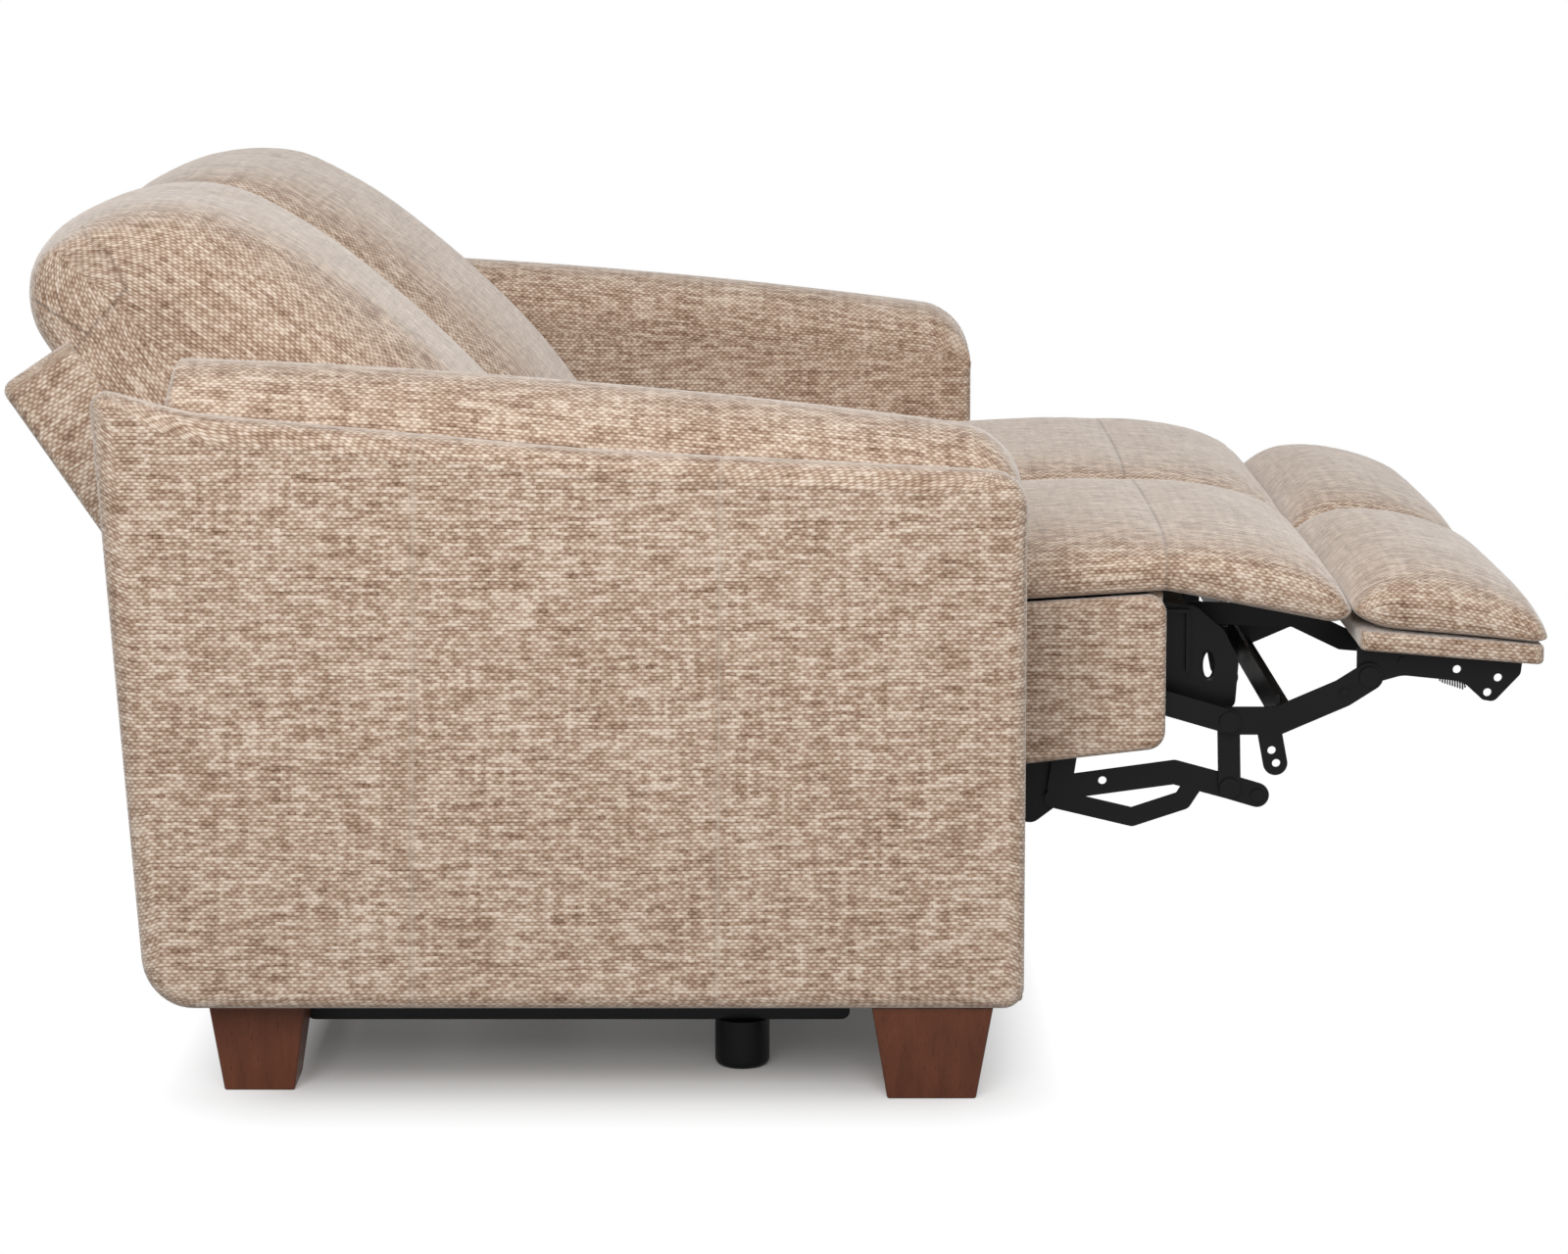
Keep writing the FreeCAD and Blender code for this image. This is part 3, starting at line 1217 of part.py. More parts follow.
def back_cushion():
    """Crowned back cushion with a rolled top, lofted across the seat."""
    rear = BACK_PANEL_THICK + 2 * REST_GAP + BACK_FRAME_DEPTH
    front = rear + BACK_CUSHION_DEPTH
    low = -BACK_CUSHION_LENGTH
    roll_rear = BACK_PANEL_THICK + BACK_ROLL_SET
    profile = [
        (rear, low, BACK_HEEL_ROUND),
        (front - BACK_FOOT_SET, low, BACK_FOOT_ROUND),
        (front, low + BACK_LUMBAR_RISE, BACK_LUMBAR_ROUND),
        (front - BACK_MID_SET, low + BACK_MID_RISE, BACK_FACE_ROUND),
        (front - BACK_UPPER_SET, low + BACK_UPPER_RISE, BACK_FACE_ROUND),
        (front - BACK_SHOULDER_SET, BACK_SHOULDER_RISE, BACK_SHOULDER_ROUND),
        (roll_rear + BACK_ROLL_DEPTH, BACK_ROLL_RISE - BACK_ROLL_FALL, BACK_ROLL_ROUND),
        *((roll_rear + ahead, rise, radius) for ahead, rise, radius in BACK_ROLL_REAR),
        (rear, -BACK_ROLL_TUCK, 3),
    ]
    sections = []
    for t, fall in crown_stations():
        corners = []
        for b, up, radius in profile:
            shrink = 1 - BACK_EDGE_DRAW * fall if b > rear else 1
            sink = BACK_EDGE_DRAW * fall * max(0.0, up)
            corners.append((rear + (b - rear) * shrink, up - sink, radius))
        sections.append(rounded_wire(corners, on_back(t * BACK_HALF)))
    return crowned(sections)


# Assembly


def moved(shapes, y):
    if not isinstance(shapes, list):
        shapes = [shapes]
    copies = []
    for shape in shapes:
        copy = shape.copy()
        copy.translate(vec(0, y, 0))
        copies.append(copy)
    return copies


def build_nodes():
    nodes = {}
    for name, side in ARM_SIDES.items():
        nodes[f"{name}_arm_outer_panel"] = [arm_outer_panel(side)]
        nodes[f"{name}_arm_inner_panel"] = [arm_inner_panel(side)]
        nodes[f"{name}_arm_end_panels"] = arm_end_panels(side)
        nodes[f"{name}_arm_pad"] = [arm_pad(side)]
        nodes[f"{name}_control_panel"] = [control_panel(side)]
        nodes[f"{name}_recline_button"] = [control_button(side, 0)]
        nodes[f"{name}_upright_button"] = [control_button(side, 1)]
    nodes["arm_frames"] = [s for side in ARM_SIDES.values() for s in arm_frame(side)]
    nodes["wooden_feet"] = feet(0) + feet(1)
    nodes["foot_bolts"] = foot_bolts()
    nodes["support_feet"] = support_feet()
    nodes["base_side_rails"] = [base_side_rail(side) for side in ARM_SIDES.values()]
    nodes["cross_rails"] = [cross_rail(x) for x in (FRONT_CROSS_X, REAR_CROSS_X)]
    nodes["rear_lower_panel"] = [rear_lower_panel()]
    nodes["power_inlet"] = [power_inlet()]
    nodes["slide_rails"] = [s for c in SEAT_CENTRES.values() for s in slide_rails(c)]
    nodes["recline_actuators"] = [s for c in SEAT_CENTRES.values() for s in recline_actuator(c)]
    makers = {
        "seat_carriage": seat_carriage,
        "seat_box": seat_box,
        "seat_straps": seat_straps,
        "seat_cushion": seat_cushion,
        "hinge_brackets": hinge_brackets,
        "footrest_motor": footrest_motor,
        "bolster": bolster,
        "footrest_board": footrest_board,
        "footrest_pad": footrest_pad,
        "footrest_brackets": footrest_brackets,
        "crank": crank,
        "drive_nut": drive_nut,
        "lower_link": lower_link,
        "ottoman_link": ottoman_link,
        "drop_link": drop_link,
        "back_panel": back_panel,
        "back_frame": back_frame,
        "back_cushion": back_cushion,
    }
    for maker_name, maker in makers.items():
        shapes = maker()
        for name, centre in SEAT_CENTRES.items():
            nodes[f"{name}_{maker_name}"] = moved(shapes, centre)
    return nodes


def main():
    os.makedirs("parts", exist_ok=True)
    nodes = build_nodes()
    for name, solids in nodes.items():
        flat = [s for shape in solids for s in shape.Solids]
        for solid in flat:
            if not solid.isValid() or solid.Volume <= 0:
                raise ValueError(f"{name}: a solid is not valid")
        Part.makeCompound(flat).exportStep(f"parts/{name}.step")
    bounds = Part.makeCompound([s for solids in nodes.values() for s in solids]).BoundBox
    low, high = (bounds.XMin, bounds.YMin, bounds.ZMin), (bounds.XMax, bounds.YMax, bounds.ZMax)
    print(json.dumps({"nodes": len(nodes), "low": low, "high": high}))


main()
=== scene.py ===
"""Looks of a two-seat power reclining sofa: woven chenille covers, padded cushions, dark wooden feet and
black steel leg-rest links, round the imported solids. Metres, in the solids' frame: X forward, Y to the
sitter's left, Z up, floor at Z = 0. Each new piece is a surface worked out as whole arrays.
"""

import json
import math

import bpy
import numpy as np
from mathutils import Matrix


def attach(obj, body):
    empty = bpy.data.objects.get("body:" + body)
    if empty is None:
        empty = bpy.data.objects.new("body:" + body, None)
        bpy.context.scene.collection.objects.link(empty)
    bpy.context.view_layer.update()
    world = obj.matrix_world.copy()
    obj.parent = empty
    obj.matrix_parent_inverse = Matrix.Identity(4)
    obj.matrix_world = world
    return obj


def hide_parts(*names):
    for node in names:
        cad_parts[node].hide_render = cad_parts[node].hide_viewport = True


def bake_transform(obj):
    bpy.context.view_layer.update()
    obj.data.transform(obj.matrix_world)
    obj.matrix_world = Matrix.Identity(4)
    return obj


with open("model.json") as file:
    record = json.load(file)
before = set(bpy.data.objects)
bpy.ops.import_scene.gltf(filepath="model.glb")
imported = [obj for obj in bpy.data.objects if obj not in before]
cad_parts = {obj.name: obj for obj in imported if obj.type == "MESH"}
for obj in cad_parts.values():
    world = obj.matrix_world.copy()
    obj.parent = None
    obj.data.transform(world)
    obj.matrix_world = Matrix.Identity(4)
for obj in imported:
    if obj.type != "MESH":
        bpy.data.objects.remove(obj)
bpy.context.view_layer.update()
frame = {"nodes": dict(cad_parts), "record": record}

# Arms: outer and inner faces, foot, front, top edge's bend, corners of the top and rear edges in X and Z,
# rear of the pad, and the sides of the end panels
HALF_WIDTH = 0.770
ARM_IN = 0.580
ARM_LOW = 0.100
ARM_FRONT = 0.246
ARM_BEND = -0.194
TOP_EDGE = ((-0.601, 0.714), (ARM_BEND, 0.677), (ARM_FRONT, 0.655))
REAR_FOOT = -0.658
REAR_TOP = (-0.704, 0.742)
PAD_REAR = -0.636
END_PANEL = (-0.730, -0.605)

# Seats: middle of the right one, front of its box, half a cushion's width, the tuck, the leg rest's slope
SEAT_Y = -0.290
SEAT_FRONT = 0.405
CUSHION_HALF = 0.286
TUCK = 0.6022
LEG_SLOPE = 0.081

# Backs: top rear edge in X and Z, and lean
BACK_TOP = np.array([-0.827, 0.720])
BACK_LEAN = math.radians(34)

# Chenille: length of a float, width of a row, share of heathering, and yarn colours
FLOAT = 0.0076
ROW = 0.0036
HEATHER = 0.32
DARK_YARN = (0.135, 0.070, 0.041, 1)
MIDDLE_YARN = (0.446, 0.308, 0.220, 1)
# The light yarn colour is also painted highlight on the crown of each float.
LIGHT_YARN_AND_HIGHLIGHT = (0.82, 0.69, 0.57, 1)
WHITE = (1, 1, 1, 1)

# Seam colours, and lines of the back's seams in X and Z
# The pale colour paints a lighter line into the arm's seams; the deep one paints shade into the dips of the
# seat's and back's seams.
PALE, SEAM_SHADE = (0.62, 0.50, 0.40, 1), (0.17, 0.10, 0.07, 1)
BACK_GUSSET = ((-0.762, 0.742), (-0.690, 0.824), (-0.708, 0.862), (-0.739, 0.887))
BACK_ROLL = ((-0.789, 0.812), (-0.730, 0.775))

# Filling: frames that it takes to settle
FILL_FRAMES = 20

# Floor: half its side, the shadow's middle and half sides, and the width of its fade to white
FLOOR_HALF = 9.0
SHADOW_X = -0.18
SHADOW_HALF = (0.32, 0.70)
FADE = 0.15

# Light: share of the white surround that lights the sofa, and each lamp's name, place, aim, size and power
SKY_LIGHT = 0.40
LAMPS = (
    ("overhead_softbox", (0.7, 0.3, 3.4), (0.4, 0, 0.4), 3.0, 20),
    ("front_softbox", (-0.4, -3.8, 2.5), (0, -0.5, 0.5), 2.3, 106),
)

# Camera: place, tip below level, lens and sensor in millimetres, and shift
CAMERA_PLACE = (-0.0007, -5.069, 1.247)
CAMERA_TIP = math.radians(7.77)
LENS, SENSOR, SHIFT = 98.9, 36.0, -0.10


# Curves and surfaces


def curve(points, count):
    """Smooth open curve through the points, read at equal steps of its length.

    Each span is the cubic whose slope at a point is half the chord between that point's neighbours.
    """
    p = np.asarray(points, float)
    ends = np.vstack([2 * p[0] - p[1], p, 2 * p[-1] - p[-2]])
    a, b, c, d = (ends[i : len(ends) - 3 + i, None] for i in range(4))
    s = np.linspace(0, 1, 24, endpoint=False)[None, :, None]
    spans = b + 0.5 * s * (c - a + s * (2 * a - 5 * b + 4 * c - d + s * (3 * (b - c) + d - a)))
    path = np.vstack([spans.reshape(-1, p.shape[1]), p[-1]])
    run = np.concatenate([[0], np.cumsum(np.linalg.norm(np.diff(path, axis=0), axis=1))])
    at = np.linspace(0, run[-1], count)
    return np.stack([np.interp(at, run, path[:, k]) for k in range(p.shape[1])], 1)


def height(points, at):
    """Smooth height of a profile at given positions: the curve through the points, read across."""
    path = curve(points, 400)
    return np.interp(at, path[:, 0], path[:, 1])


def rounded(corners, step=0.010):
    """Closed outline of (u, w, radius) corners, counter-clockwise: straight runs joined by tangent arcs."""
    c = np.asarray(corners, float)
    p, r = c[:, :2], c[:, 2]
    before, after = np.roll(p, 1, 0) - p, np.roll(p, -1, 0) - p
    lb, la = np.linalg.norm(before, axis=1), np.linalg.norm(after, axis=1)
    ub, ua = before / lb[:, None], after / la[:, None]
    half = np.arccos(np.clip((ub * ua).sum(1), -1, 1)) / 2
    reach = np.minimum(r / np.tan(half), 0.48 * np.minimum(lb, la))
    fitted = reach * np.tan(half)
    middle = ub + ua
    middle *= (fitted / np.sin(half) / np.linalg.norm(middle, axis=1))[:, None]
    centre = p + middle
    start, end = p + ub * reach[:, None], p + ua * reach[:, None]
    loops = []
    for i in range(len(p)):
        a0 = math.atan2(*(start[i] - centre[i])[::-1])
        a1 = math.atan2(*(end[i] - centre[i])[::-1])
        turn = (a1 - a0 + math.pi) % (2 * math.pi) - math.pi
        a = a0 + turn * np.linspace(0, 1, max(4, int(abs(turn) / 0.12)))
        loops.append(centre[i] + fitted[i] * np.stack([np.cos(a), np.sin(a)], 1))
        following = start[(i + 1) % len(p)]
        count = max(2, int(np.linalg.norm(following - end[i]) / step))
        share = np.linspace(0, 1, count, endpoint=False)[1:, None]
        loops.append(end[i] + (following - end[i]) * share)
    return np.vstack(loops)


def grid_quads(rows, columns, round_rows=False, round_columns=False):
    """Quads of a grid of points numbered row by row, closed round either way where asked."""
    r = np.arange(rows if round_rows else rows - 1)[:, None]
    c = np.arange(columns if round_columns else columns - 1)[None, :]
    r1, c1 = (r + 1) % rows, (c + 1) % columns
    here, above = r * columns, r1 * columns
    return np.stack([here + c, here + c1, above + c1, above + c], -1).reshape(-1, 4)


def faces_out(points, quads):
    """Whether the volume that the quads close, the sum of their corner prisms, is positive."""
    a, b, c, d = (points[quads[:, k]] for k in range(4))
    volume = (a * np.cross(b, c)).sum() + (a * np.cross(c, d)).sum()
    return volume > 0


def piece(name, surfaces, material):
    """One mesh from surfaces given as (points, quads, cloth coordinate of each quad corner).

    A corner that repeats an earlier one of its quad is left out, which makes that face a triangle.
    """
    points, quads, cloth, base = [], [], [], 0
    for p, q, c in surfaces:
        if not faces_out(p, q):
            q, c = q[:, ::-1], c[:, ::-1]
        points.append(p)
        quads.append(q + base)
        cloth.append(c)
        base += len(p)
    points, quads, cloth = np.vstack(points), np.vstack(quads), np.concatenate(cloth)
    repeats = (quads[:, :, None] == quads[:, None, :]) & np.tri(4, k=-1, dtype=bool)
    keep = ~repeats.any(2)
    sizes = keep.sum(1)
    mesh = bpy.data.meshes.new(name)
    mesh.vertices.add(len(points))
    mesh.vertices.foreach_set("co", points.astype(np.float32).ravel())
    mesh.loops.add(int(sizes.sum()))
    mesh.loops.foreach_set("vertex_index", quads[keep].astype(np.int32))
    mesh.polygons.add(len(quads))
    mesh.polygons.foreach_set("loop_start", (np.cumsum(sizes) - sizes).astype(np.int32))
    mesh.update(calc_edges=True)
    mesh.uv_layers.new(name="weave").uv.foreach_set("vector", cloth[keep].astype(np.float32).ravel())
    mesh.polygons.foreach_set("use_smooth", np.ones(len(mesh.polygons), bool))
    mesh.materials.append(material)
    obj = bpy.data.objects.new(name, mesh)
    bpy.context.scene.collection.objects.link(obj)
    return obj


def pillow(along, low, high, half, place, side=(11, 3.0), under=(18, 4.0), edge=0.84, power=3, seam=0.42,
           ends=(0.03, 0.03), corner=0.016, sink=(0.0, 0.0), pull=0.003, stations=48):
    """Closed cushion between an underside and a crown, as two sheets that meet in a seam.

    One parameter runs along the cushion, with its heights low and high; the other, t, runs across from -1
    to 1. The crown changes to edge times its height as |t|^power; two values of edge are for t < 0 and t > 0.
    Both sheets close on the seam line, a share seam of the way up: across as (1 - |t|^p)^(1/q), with (p, q) =
    side for the crown and under for the underside, and at the ends as quarter circles over the lengths in
    ends. In plan the corners are quarter circles of radius corner, the ends draw in by sink as |t|^3, and the
    sides by pull half way along.
    Returns points, quads, cloth coordinates and, for each point, 0 on the crown and more elsewhere.
    """
    t = np.sin(np.linspace(-1, 1, stations) * math.pi / 2)[:, None]
    share = (along - along[0]) / (along[-1] - along[0])
    edge = np.where(t < 0, *edge) if isinstance(edge, tuple) else edge
    crown = low + (high - low) * (1 - (1 - edge) * np.abs(t) ** power)
    middle = low + seam * (crown - low)
    quarter = lambda gone, reach: np.sqrt(1 - (1 - np.clip(gone / reach, 0, 1)) ** 2)
    before, after = along - along[0], along[-1] - along
    round_ends = quarter(before, ends[0]) * quarter(after, ends[1])
    inset = corner * (2 - quarter(before, corner) - quarter(after, corner)) if corner else 0.0
    y = t * (half - inset - pull * np.sin(share * math.pi)) + 0 * along
    a = along + np.abs(t) ** 3 * (sink[0] * (1 - share) ** 3 - sink[1] * share**3)
    rows, columns = a.shape
    index = np.arange(rows * columns).reshape(rows, columns)
    below = index + rows * columns
    border = np.zeros((rows, columns), bool)
    border[[0, -1]] = border[:, [0, -1]] = True
    sheets, cloth = [], []
    for heights, (p, q) in ((crown, side), (low + 0 * t, under)):
        close = (1 - np.abs(t) ** p) ** (1 / q) * round_ends
        sheet = place(a, y, middle + (heights - middle) * close)
        steps = np.linalg.norm(np.diff(sheet, axis=0), axis=2)
        v = np.vstack([np.zeros(columns), np.cumsum(steps, 0)])
        u = np.concatenate([[0], np.cumsum(np.linalg.norm(np.diff(sheet[rows // 2], axis=0), axis=1))])
        sheets.append(sheet.reshape(-1, 3))
        cloth.append(np.stack([u + 0 * v, v - v[rows // 2]], -1).reshape(-1, 2))
    quads = grid_quads(rows, columns)
    corners = np.concatenate([cloth[0][quads], cloth[1][quads][:, ::-1]])
    joined = np.where(border, index, below).ravel()
    quads = np.vstack([quads, joined[quads][:, ::-1]])
    used, quads = np.unique(quads, return_inverse=True)
    part = (used >= rows * columns) * 1 + border.ravel()[used % (rows * columns)] * 2
    return np.vstack(sheets)[used], quads.reshape(-1, 4), corners, part


def padded_plate(outline, place, back, front, round_back=0.003, round_front=0.012, puff=0.0, opening=None,
                 steps=(), relief=None):
    """Covered board with rolled edges, as rings round its outline.

    A ring is the outline drawn inwards by an inset and set to a depth: the back face, a quarter circle, the
    edge, a quarter circle, then the front face, which rises by puff as one minus the cube of the share left
    to the middle, and by relief(inset) where that is given for the insets in steps. The rings end in the
    middle, or round an opening.
    """
    middle = (outline.max(0) + outline.min(0)) / 2 if opening is None else opening.mean(0)
    inner = np.repeat(middle[None], len(outline), 0) if opening is None else opening
    tangent = np.roll(outline, -1, 0) - np.roll(outline, 1, 0)
    normal = np.stack([tangent[:, 1], -tangent[:, 0]], 1) / np.linalg.norm(tangent, axis=1)[:, None]
    inwards = inner - outline
    inwards /= np.linalg.norm(inwards, axis=1)[:, None]
    inwards /= np.maximum(0.4, -(inwards * normal).sum(1))[:, None]
    rise = math.copysign(1, front - back)
    rolled = np.broadcast_to(round_front, len(outline))[:, None]
    quarter = np.linspace(0, math.pi / 2, 6)
    edge_back, edge_front = outline + inwards * round_back, outline + inwards * rolled
    drop = abs(front - back) - round_back - rolled
    rows = [(edge_back + (inner - edge_back) * f, back, None) for f in (1, 0.6, 0.25, 0.06)]
    for a in quarter[::-1]:
        wrap = rolled * math.pi / 2 + drop + round_back * a
        depth = back + rise * round_back * (1 - math.sin(a))
        rows.append((outline + inwards * round_back * (1 - math.cos(a)), depth, wrap))
    for a in quarter:
        wrap = rolled * (math.pi / 2 - a)
        depth = front - rise * rolled[:, 0] * (1 - math.sin(a))
        rows.append((outline + inwards * rolled * (1 - math.cos(a)), depth, wrap))
    for inset in steps:
        rows.append((outline + inwards * inset, front + rise * relief(inset), None))
    last = outline + inwards * (steps[-1] if len(steps) else rolled)
    for f in (0.03, 0.08, 0.16, 0.28, 0.42, 0.58, 0.74, 0.88, 1):
        rows.append((last + (inner - last) * f, front + rise * puff * (1 - (1 - f) ** 3), None))
    flat = np.stack([r[0] for r in rows])
    depth = np.stack([np.broadcast_to(r[1], len(outline)) for r in rows])
    cloth = np.stack([r[0] if r[2] is None else edge_front + normal * r[2] for r in rows])
    points = place(flat[..., 0], flat[..., 1], depth).reshape(-1, 3)
    quads = grid_quads(len(rows), len(outline), opening is not None, True)
    corners = cloth.reshape(-1, 2)[quads]
    if opening is None:
        n, top = len(outline), len(points) - len(outline)
        index = np.arange(len(points))
        index[:n], index[top:] = 0, top
        quads = index[quads]
    return points, quads, corners


def on_xz(y_of):
    """Places an outline drawn in X and Z at the Y that a depth stands for."""
    return lambda u, w, d: np.stack([u, y_of(d), w], -1)


def on_back(b, y, up):
    """Back coordinates: b forward from the back's rear face, up along it from its top edge."""
    s, c = math.sin(BACK_LEAN), math.cos(BACK_LEAN)
    return np.stack([BACK_TOP[0] + b * c - up * s, y + 0 * b, BACK_TOP[1] + b * s + up * c], -1)


# Materials


class Nodes:
    """Adds nodes to a tree; a socket is given either another node's output or a constant."""

    def __init__(self, tree):
        self.tree = tree

    def set(self, socket, value):
        if isinstance(value, bpy.types.NodeSocket):
            self.tree.links.new(value, socket)
        else:
            socket.default_value = value

    def add(self, kind, sockets=None, **settings):
        made = self.tree.nodes.new(kind)
        for key, value in settings.items():
            setattr(made, key, value)
        for key, value in (sockets or {}).items():
            self.set(made.inputs[key], value)
        return made

    def math(self, operation, *values, clamp=False):
        made = self.add("ShaderNodeMath", dict(enumerate(values)), operation=operation, use_clamp=clamp)
        return made.outputs[0]

    def mix(self, share, a, b):
        return self.add("ShaderNodeMix", {0: share, 6: a, 7: b}, data_type="RGBA").outputs[2]

    def noise(self, vector, scale=1.0, detail=1.0, roughness=0.5, dimensions="2D"):
        return self.add("ShaderNodeTexNoise", {"Vector": vector, "Scale": scale, "Detail": detail,
                                               "Roughness": roughness}, noise_dimensions=dimensions)

    def vector(self, operation, a, b):
        return self.add("ShaderNodeVectorMath", {0: a, 1: b}, operation=operation)

    def stretch(self, vector, x, y, z=0.0):
        return self.vector("MULTIPLY", vector, (x, y, z)).outputs[0]

    def about(self, value, amount):
        """The value's distance from a half, times the amount."""
        return self.math("MULTIPLY", self.math("SUBTRACT", value, 0.5), amount)

    def bump(self, height, strength, distance):
        sockets = {"Strength": strength, "Distance": distance, "Height": height}
        return self.add("ShaderNodeBump", sockets).outputs[0]


def new_group(name, inputs, outputs):
    """Empty node group with (label, kind) sockets: its tree, its node adder, its input and its output."""
    tree = bpy.data.node_groups.new(name, "ShaderNodeTree")
    for direction, sockets in (("INPUT", inputs), ("OUTPUT", outputs)):
        for label, kind in sockets:
            tree.interface.new_socket(label, in_out=direction, socket_type="NodeSocket" + kind)
    return tree, Nodes(tree), tree.nodes.new("NodeGroupInput"), tree.nodes.new("NodeGroupOutput")


def chenille_weave():
    """Plain weave of thick slubby yarn: short light floats in rows, each row half a float on from the last.

    A float is a lens, one minus the squares of the distances from its middle along and across the row. Its
    tone
    rises with the lens: the light weft's own colour, with painted highlight on each float's crown. Its tone
    also takes a random step of its own, streaks along both threads, and broad heathering.
    """
    tree, n, given, out = new_group(
        "chenille_weave",
        [("Cloth", "Vector"), ("Float", "Float"), ("Row", "Float"), ("Heather", "Float"), ("Dark", "Color"),
         ("Middle", "Color"), ("Light", "Color")],
        [("Color", "Color"), ("Height", "Float"), ("Roughness", "Float")],
    )
    cloth = given.outputs["Cloth"]
    wander = n.noise(cloth, 70, 1).outputs["Color"]
    wander = n.vector("SUBTRACT", wander, (0.5, 0.5, 0.5)).outputs[0]
    moved = n.vector("ADD", cloth, n.stretch(wander, 0.0030, 0.0022)).outputs[0]
    part = n.add("ShaderNodeSeparateXYZ", {0: moved})
    row = n.math("DIVIDE", part.outputs[1], given.outputs["Row"])
    row_number = n.math("FLOOR", row)
    across = n.math("FRACT", row)
    odd = n.math("MULTIPLY", n.math("FLOORED_MODULO", row_number, 2.0), 0.5)
    column = n.math("ADD", n.math("DIVIDE", part.outputs[0], given.outputs["Float"]), odd)
    column_number = n.math("FLOOR", column)
    thread = n.add("ShaderNodeCombineXYZ", {0: column_number, 1: row_number}).outputs[0]
    chance = n.add("ShaderNodeTexWhiteNoise", {"Vector": thread}, noise_dimensions="2D").outputs["Value"]

    def lens(position, reach):
        from_middle = n.math("DIVIDE", n.math("SUBTRACT", position, 0.5), reach)
        return n.math("SUBTRACT", 1.0, n.math("MULTIPLY", from_middle, from_middle), clamp=True)

    along = n.math("FRACT", column)
    over = n.math("MULTIPLY", lens(along, 0.43), lens(across, 0.56))
    between = n.math("FRACT", n.math("ADD", along, 0.5))
    under = n.math("MULTIPLY", lens(between, 0.22), lens(across, 0.5))
    weft = n.noise(n.stretch(cloth, 20, 210), 1, 2, 0.6).outputs[0]
    warp = n.noise(n.stretch(cloth, 140, 8), 1, 2, 0.6).outputs[0]
    patch = n.noise(n.stretch(cloth, 15, 75), 1, 3, 0.62).outputs[0]
    broad = n.noise(n.stretch(cloth, 8, 9), 1, 2).outputs[0]
    heather = n.math("ADD", n.about(patch, 1.0), n.about(broad, 0.45))
    # Tone rises over each float's lens: the light weft's own colour, with painted highlight on the float's
    # crown.
    tone = n.math("ADD", 0.30, n.math("MULTIPLY", over, 0.58))
    tone = n.math("ADD", tone, n.math("MULTIPLY", under, 0.20))
    tone = n.math("ADD", tone, n.about(chance, 0.36))
    tone = n.math("ADD", tone, n.about(weft, 0.85))
    tone = n.math("ADD", tone, n.about(warp, 0.40))
    tone = n.math("ADD", tone, n.math("MULTIPLY", heather, given.outputs["Heather"]))
    first = n.math("MULTIPLY", tone, 2.0, clamp=True)
    second = n.math("SUBTRACT", n.math("MULTIPLY", tone, 2.0), 1.0, clamp=True)
    shaded = n.mix(first, given.outputs["Dark"], given.outputs["Middle"])
    n.set(out.inputs["Color"], n.mix(second, shaded, given.outputs["Light"]))
    raised = n.math("ADD", n.math("SQRT", over), n.math("MULTIPLY", under, 0.5))
    n.set(out.inputs["Height"], n.math("ADD", raised, n.about(weft, 0.8)))
    n.set(out.inputs["Roughness"], n.math("SUBTRACT", 0.95, n.math("MULTIPLY", over, 0.12)))
    return tree


def sewn_seam():
    """Depth and shade of a blind seam at a distance from its line: a narrow dip with a soft lip each side."""
    tree, n, given, out = new_group(
        "sewn_seam", [("Distance", "Float"), ("Width", "Float")], [("Height", "Float"), ("Shade", "Float")]
    )
    near = n.math("DIVIDE", given.outputs["Distance"], given.outputs["Width"])
    square = n.math("MULTIPLY", near, near)
    dip = n.math("POWER", 2.718, n.math("MULTIPLY", square, -1.0))
    lip = n.math("POWER", 2.718, n.math("MULTIPLY", square, -0.12))
    raised = n.math("SUBTRACT", n.math("MULTIPLY", lip, 1.6), n.math("MULTIPLY", dip, 4.0))
    n.set(out.inputs["Height"], raised)
    n.set(out.inputs["Shade"], dip)
    return tree


def wood_grain():
    """Straight grain up a piece: stretched noise bends fine bands, with short darker pores."""
    tree, n, given, out = new_group(
        "wood_grain",
        [("Place", "Vector"), ("Grain", "Vector"), ("Dark", "Color"), ("Light", "Color"), ("Pore", "Color"),
         ("Gloss", "Float")],
        [("Color", "Color"), ("Height", "Float"), ("Roughness", "Float")],
    )
    here = given.outputs["Place"]
    bend = n.noise(n.stretch(here, 9, 9, 2.2), 1, 3, 0.6, "3D").outputs[0]
    figure = n.vector("MULTIPLY", here, given.outputs["Grain"]).outputs[0]
    figure = n.noise(figure, 1, 3, 0.65, "3D").outputs[0]
    pores = n.noise(n.stretch(here, 520, 520, 26), 1, 2, 0.7, "3D").outputs[0]
    tone = n.math("ADD", n.math("MULTIPLY", figure, 0.9), n.math("MULTIPLY", bend, 0.5))
    tone = n.math("SUBTRACT", tone, 0.2, clamp=True)
    colour = n.mix(tone, given.outputs["Dark"], given.outputs["Light"])
    pore = n.math("MULTIPLY", n.math("SUBTRACT", 0.42, pores, clamp=True), 5.0, clamp=True)
    n.set(out.inputs["Color"], n.mix(n.math("MULTIPLY", pore, 0.55), colour, given.outputs["Pore"]))
    n.set(out.inputs["Height"], n.math("SUBTRACT", n.math("MULTIPLY", figure, 0.4), pore))
    n.set(out.inputs["Roughness"], n.math("ADD", given.outputs["Gloss"], n.math("MULTIPLY", pore, 0.25)))
    return tree


